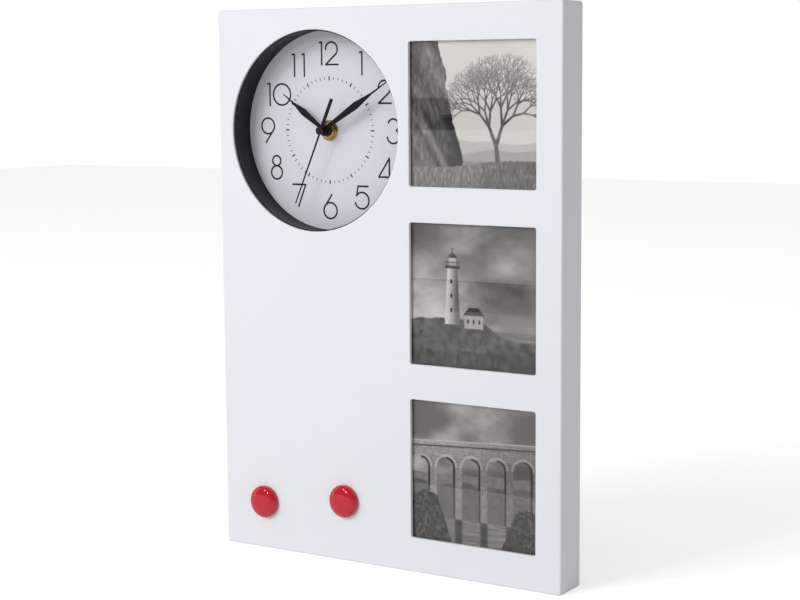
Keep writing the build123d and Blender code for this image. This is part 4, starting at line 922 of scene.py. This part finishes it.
# Camera, fitted to the photograph's own perspective
CAMERA_PLACE = Vector((683.18, -1061.45, 349.74)) * MM
CAMERA_YAW = radians(32.54)
CAMERA_PITCH = radians(-7.10)
CAMERA_ROLL = radians(-0.40)
FOCAL_SHARE = 1780.35 / 800
SENSOR_WIDTH = 36.0
FLOOR_SIZE = 9.0
KEY_PLACE = Vector((-1.6, -3.2, 2.4))
KEY_SIZE = 2.0
SPOT_PLACES = (Vector((-1.0, -1.95, 1.27)), Vector((-0.5, -2.1, 0.82)))
SPOT_SIZE = 0.14
STRIP_PLACE = Vector((-1.3, -0.6, 0.45))
STRIP_SIZE = (0.25, 1.0)


def aim(place, target):
    """The turn that points a lamp from place at target."""
    return (target - place).to_track_quat("-Z", "Y").to_euler()


def add_soft_box(name, place, size, power, mirrored):
    """A rectangular lamp that faces the middle of the object, seen or not seen in mirrors."""
    lamp = bpy.data.lights.new(name, "AREA")
    lamp.shape = "RECTANGLE"
    lamp.size, lamp.size_y = size
    lamp.energy = power
    box = bpy.data.objects.new(name, lamp)
    box.location = place
    box.rotation_euler = aim(place, (cad_box[0] + cad_box[1]) / 2)
    box.visible_glossy = mirrored
    bpy.context.collection.objects.link(box)


def camera_rays(nodes, links):
    """One where a ray comes straight from the camera or through glass."""
    rays = nodes.new("ShaderNodeLightPath")
    larger = nodes.new("ShaderNodeMath")
    larger.operation = "MAXIMUM"
    links.new(rays.outputs["Is Camera Ray"], larger.inputs[0])
    links.new(rays.outputs["Is Transmission Ray"], larger.inputs[1])
    return larger.outputs[0]


class CLOCK_OT_stage(bpy.types.Operator):
    """Sets the floor, the studio light and the camera"""
    bl_idname = "clock.stage"
    bl_label = "Stage"

    def execute(self, context):
        self.make_floor(context)
        self.make_light(context)
        self.make_camera(context)
        return {"FINISHED"}

    def make_floor(self, context):
        deselect()
        bpy.ops.mesh.primitive_plane_add(size=FLOOR_SIZE, location=(0.0, 0.0, cad_box[0].z))
        floor = bpy.context.object
        floor.name = floor.data.name = "floor"
        apply_place(floor)
        stage = context.scene.clock_stage
        material = finish_material(
            "Pale floor", (stage.floor,) * 3, 0.8, grain=3.0, patch=400.0, depth=0.02, spread=0.01, gloss=0.05,
        )
        nodes, links = material.node_tree.nodes, material.node_tree.links
        glow = nodes.new("ShaderNodeMath")
        glow.operation = "MULTIPLY"
        glow.inputs[1].default_value = stage.floor_glow
        links.new(camera_rays(nodes, links), glow.inputs[0])
        shader = nodes["Principled BSDF"]
        shader.inputs["Specular IOR Level"].default_value = 0.1
        shader.inputs["Emission Color"].default_value = (1.0, 1.0, 1.0, 1.0)
        links.new(glow.outputs[0], shader.inputs["Emission Strength"])
        cover(floor, material)

    def make_light(self, context):
        stage = context.scene.clock_stage
        add_soft_box("Key light", KEY_PLACE, (KEY_SIZE, KEY_SIZE), stage.key_power, False)
        add_soft_box("Strip light", STRIP_PLACE, STRIP_SIZE, stage.fill_power, True)
        for place in SPOT_PLACES:
            add_soft_box("Small lamp", place, (SPOT_SIZE, SPOT_SIZE), stage.spot_power, True)
        world = bpy.data.worlds.new("Studio")
        world.use_nodes = True
        context.scene.world = world
        nodes, links = world.node_tree.nodes, world.node_tree.links
        rays = nodes.new("ShaderNodeLightPath")
        mirrored = nodes.new("ShaderNodeMapRange")
        mirrored.inputs["To Min"].default_value = stage.surround
        mirrored.inputs["To Max"].default_value = stage.mirror
        links.new(rays.outputs["Is Glossy Ray"], mirrored.inputs["Value"])
        strength = nodes.new("ShaderNodeMapRange")
        strength.inputs["To Max"].default_value = 1.0
        links.new(mirrored.outputs["Result"], strength.inputs["To Min"])
        links.new(camera_rays(nodes, links), strength.inputs["Value"])
        background = nodes["Background"]
        background.inputs["Color"].default_value = (1.0, 1.0, 1.0, 1.0)
        links.new(strength.outputs["Result"], background.inputs["Strength"])

    def make_camera(self, context):
        ahead = Vector((
            -sin(CAMERA_YAW) * cos(CAMERA_PITCH), cos(CAMERA_YAW) * cos(CAMERA_PITCH), sin(CAMERA_PITCH),
        ))
        level = ahead.cross(Vector((0.0, 0.0, 1.0))).normalized()
        upright = level.cross(ahead)
        right = cos(CAMERA_ROLL) * level + sin(CAMERA_ROLL) * upright
        up = cos(CAMERA_ROLL) * upright - sin(CAMERA_ROLL) * level
        lens = bpy.data.cameras.new("Camera")
        lens.sensor_width = SENSOR_WIDTH
        lens.lens = FOCAL_SHARE * SENSOR_WIDTH
        camera = bpy.data.objects.new("Camera", lens)
        turn = Matrix((right, up, -ahead)).transposed()
        camera.matrix_world = Matrix.LocRotScale(CAMERA_PLACE, turn.to_quaternion(), None)
        context.collection.objects.link(camera)
        context.scene.camera = camera
        context.scene.view_settings.view_transform = "Standard"


class CLOCK_PT_panel(bpy.types.Panel):
    """Lists the steps that dress the clock"""
    bl_idname = "CLOCK_PT_panel"
    bl_label = "Photo clock"
    bl_space_type = "VIEW_3D"
    bl_region_type = "UI"
    bl_category = "Photo clock"

    def draw(self, context):
        for settings in (context.scene.clock_colours, context.scene.clock_sizes, context.scene.clock_stage):
            box = self.layout.box()
            for name in settings.__annotations__:
                box.prop(settings, name)
        for step in STEPS:
            self.layout.operator(step.bl_idname)


STEPS = (
    CLOCK_OT_shell, CLOCK_OT_dial, CLOCK_OT_hands, CLOCK_OT_prints, CLOCK_OT_magnets,
    CLOCK_OT_movement, CLOCK_OT_back, CLOCK_OT_stage,
)
GROUPS = (CLOCK_PG_colours, CLOCK_PG_sizes, CLOCK_PG_stage)
CLASSES = GROUPS + STEPS + (CLOCK_PT_panel,)


def register():
    for entry in CLASSES:
        bpy.utils.register_class(entry)
    bpy.types.Scene.clock_colours = bpy.props.PointerProperty(type=CLOCK_PG_colours)
    bpy.types.Scene.clock_sizes = bpy.props.PointerProperty(type=CLOCK_PG_sizes)
    bpy.types.Scene.clock_stage = bpy.props.PointerProperty(type=CLOCK_PG_stage)


def unregister():
    del bpy.types.Scene.clock_colours
    del bpy.types.Scene.clock_sizes
    del bpy.types.Scene.clock_stage
    for entry in reversed(CLASSES):
        bpy.utils.unregister_class(entry)


def main():
    register()
    bpy.ops.clock.shell()
    bpy.ops.clock.dial()
    bpy.ops.clock.hands()
    bpy.ops.clock.prints()
    bpy.ops.clock.magnets()
    bpy.ops.clock.movement()
    bpy.ops.clock.back()
    bpy.ops.clock.stage()


if __name__ == "__main__":
    main()
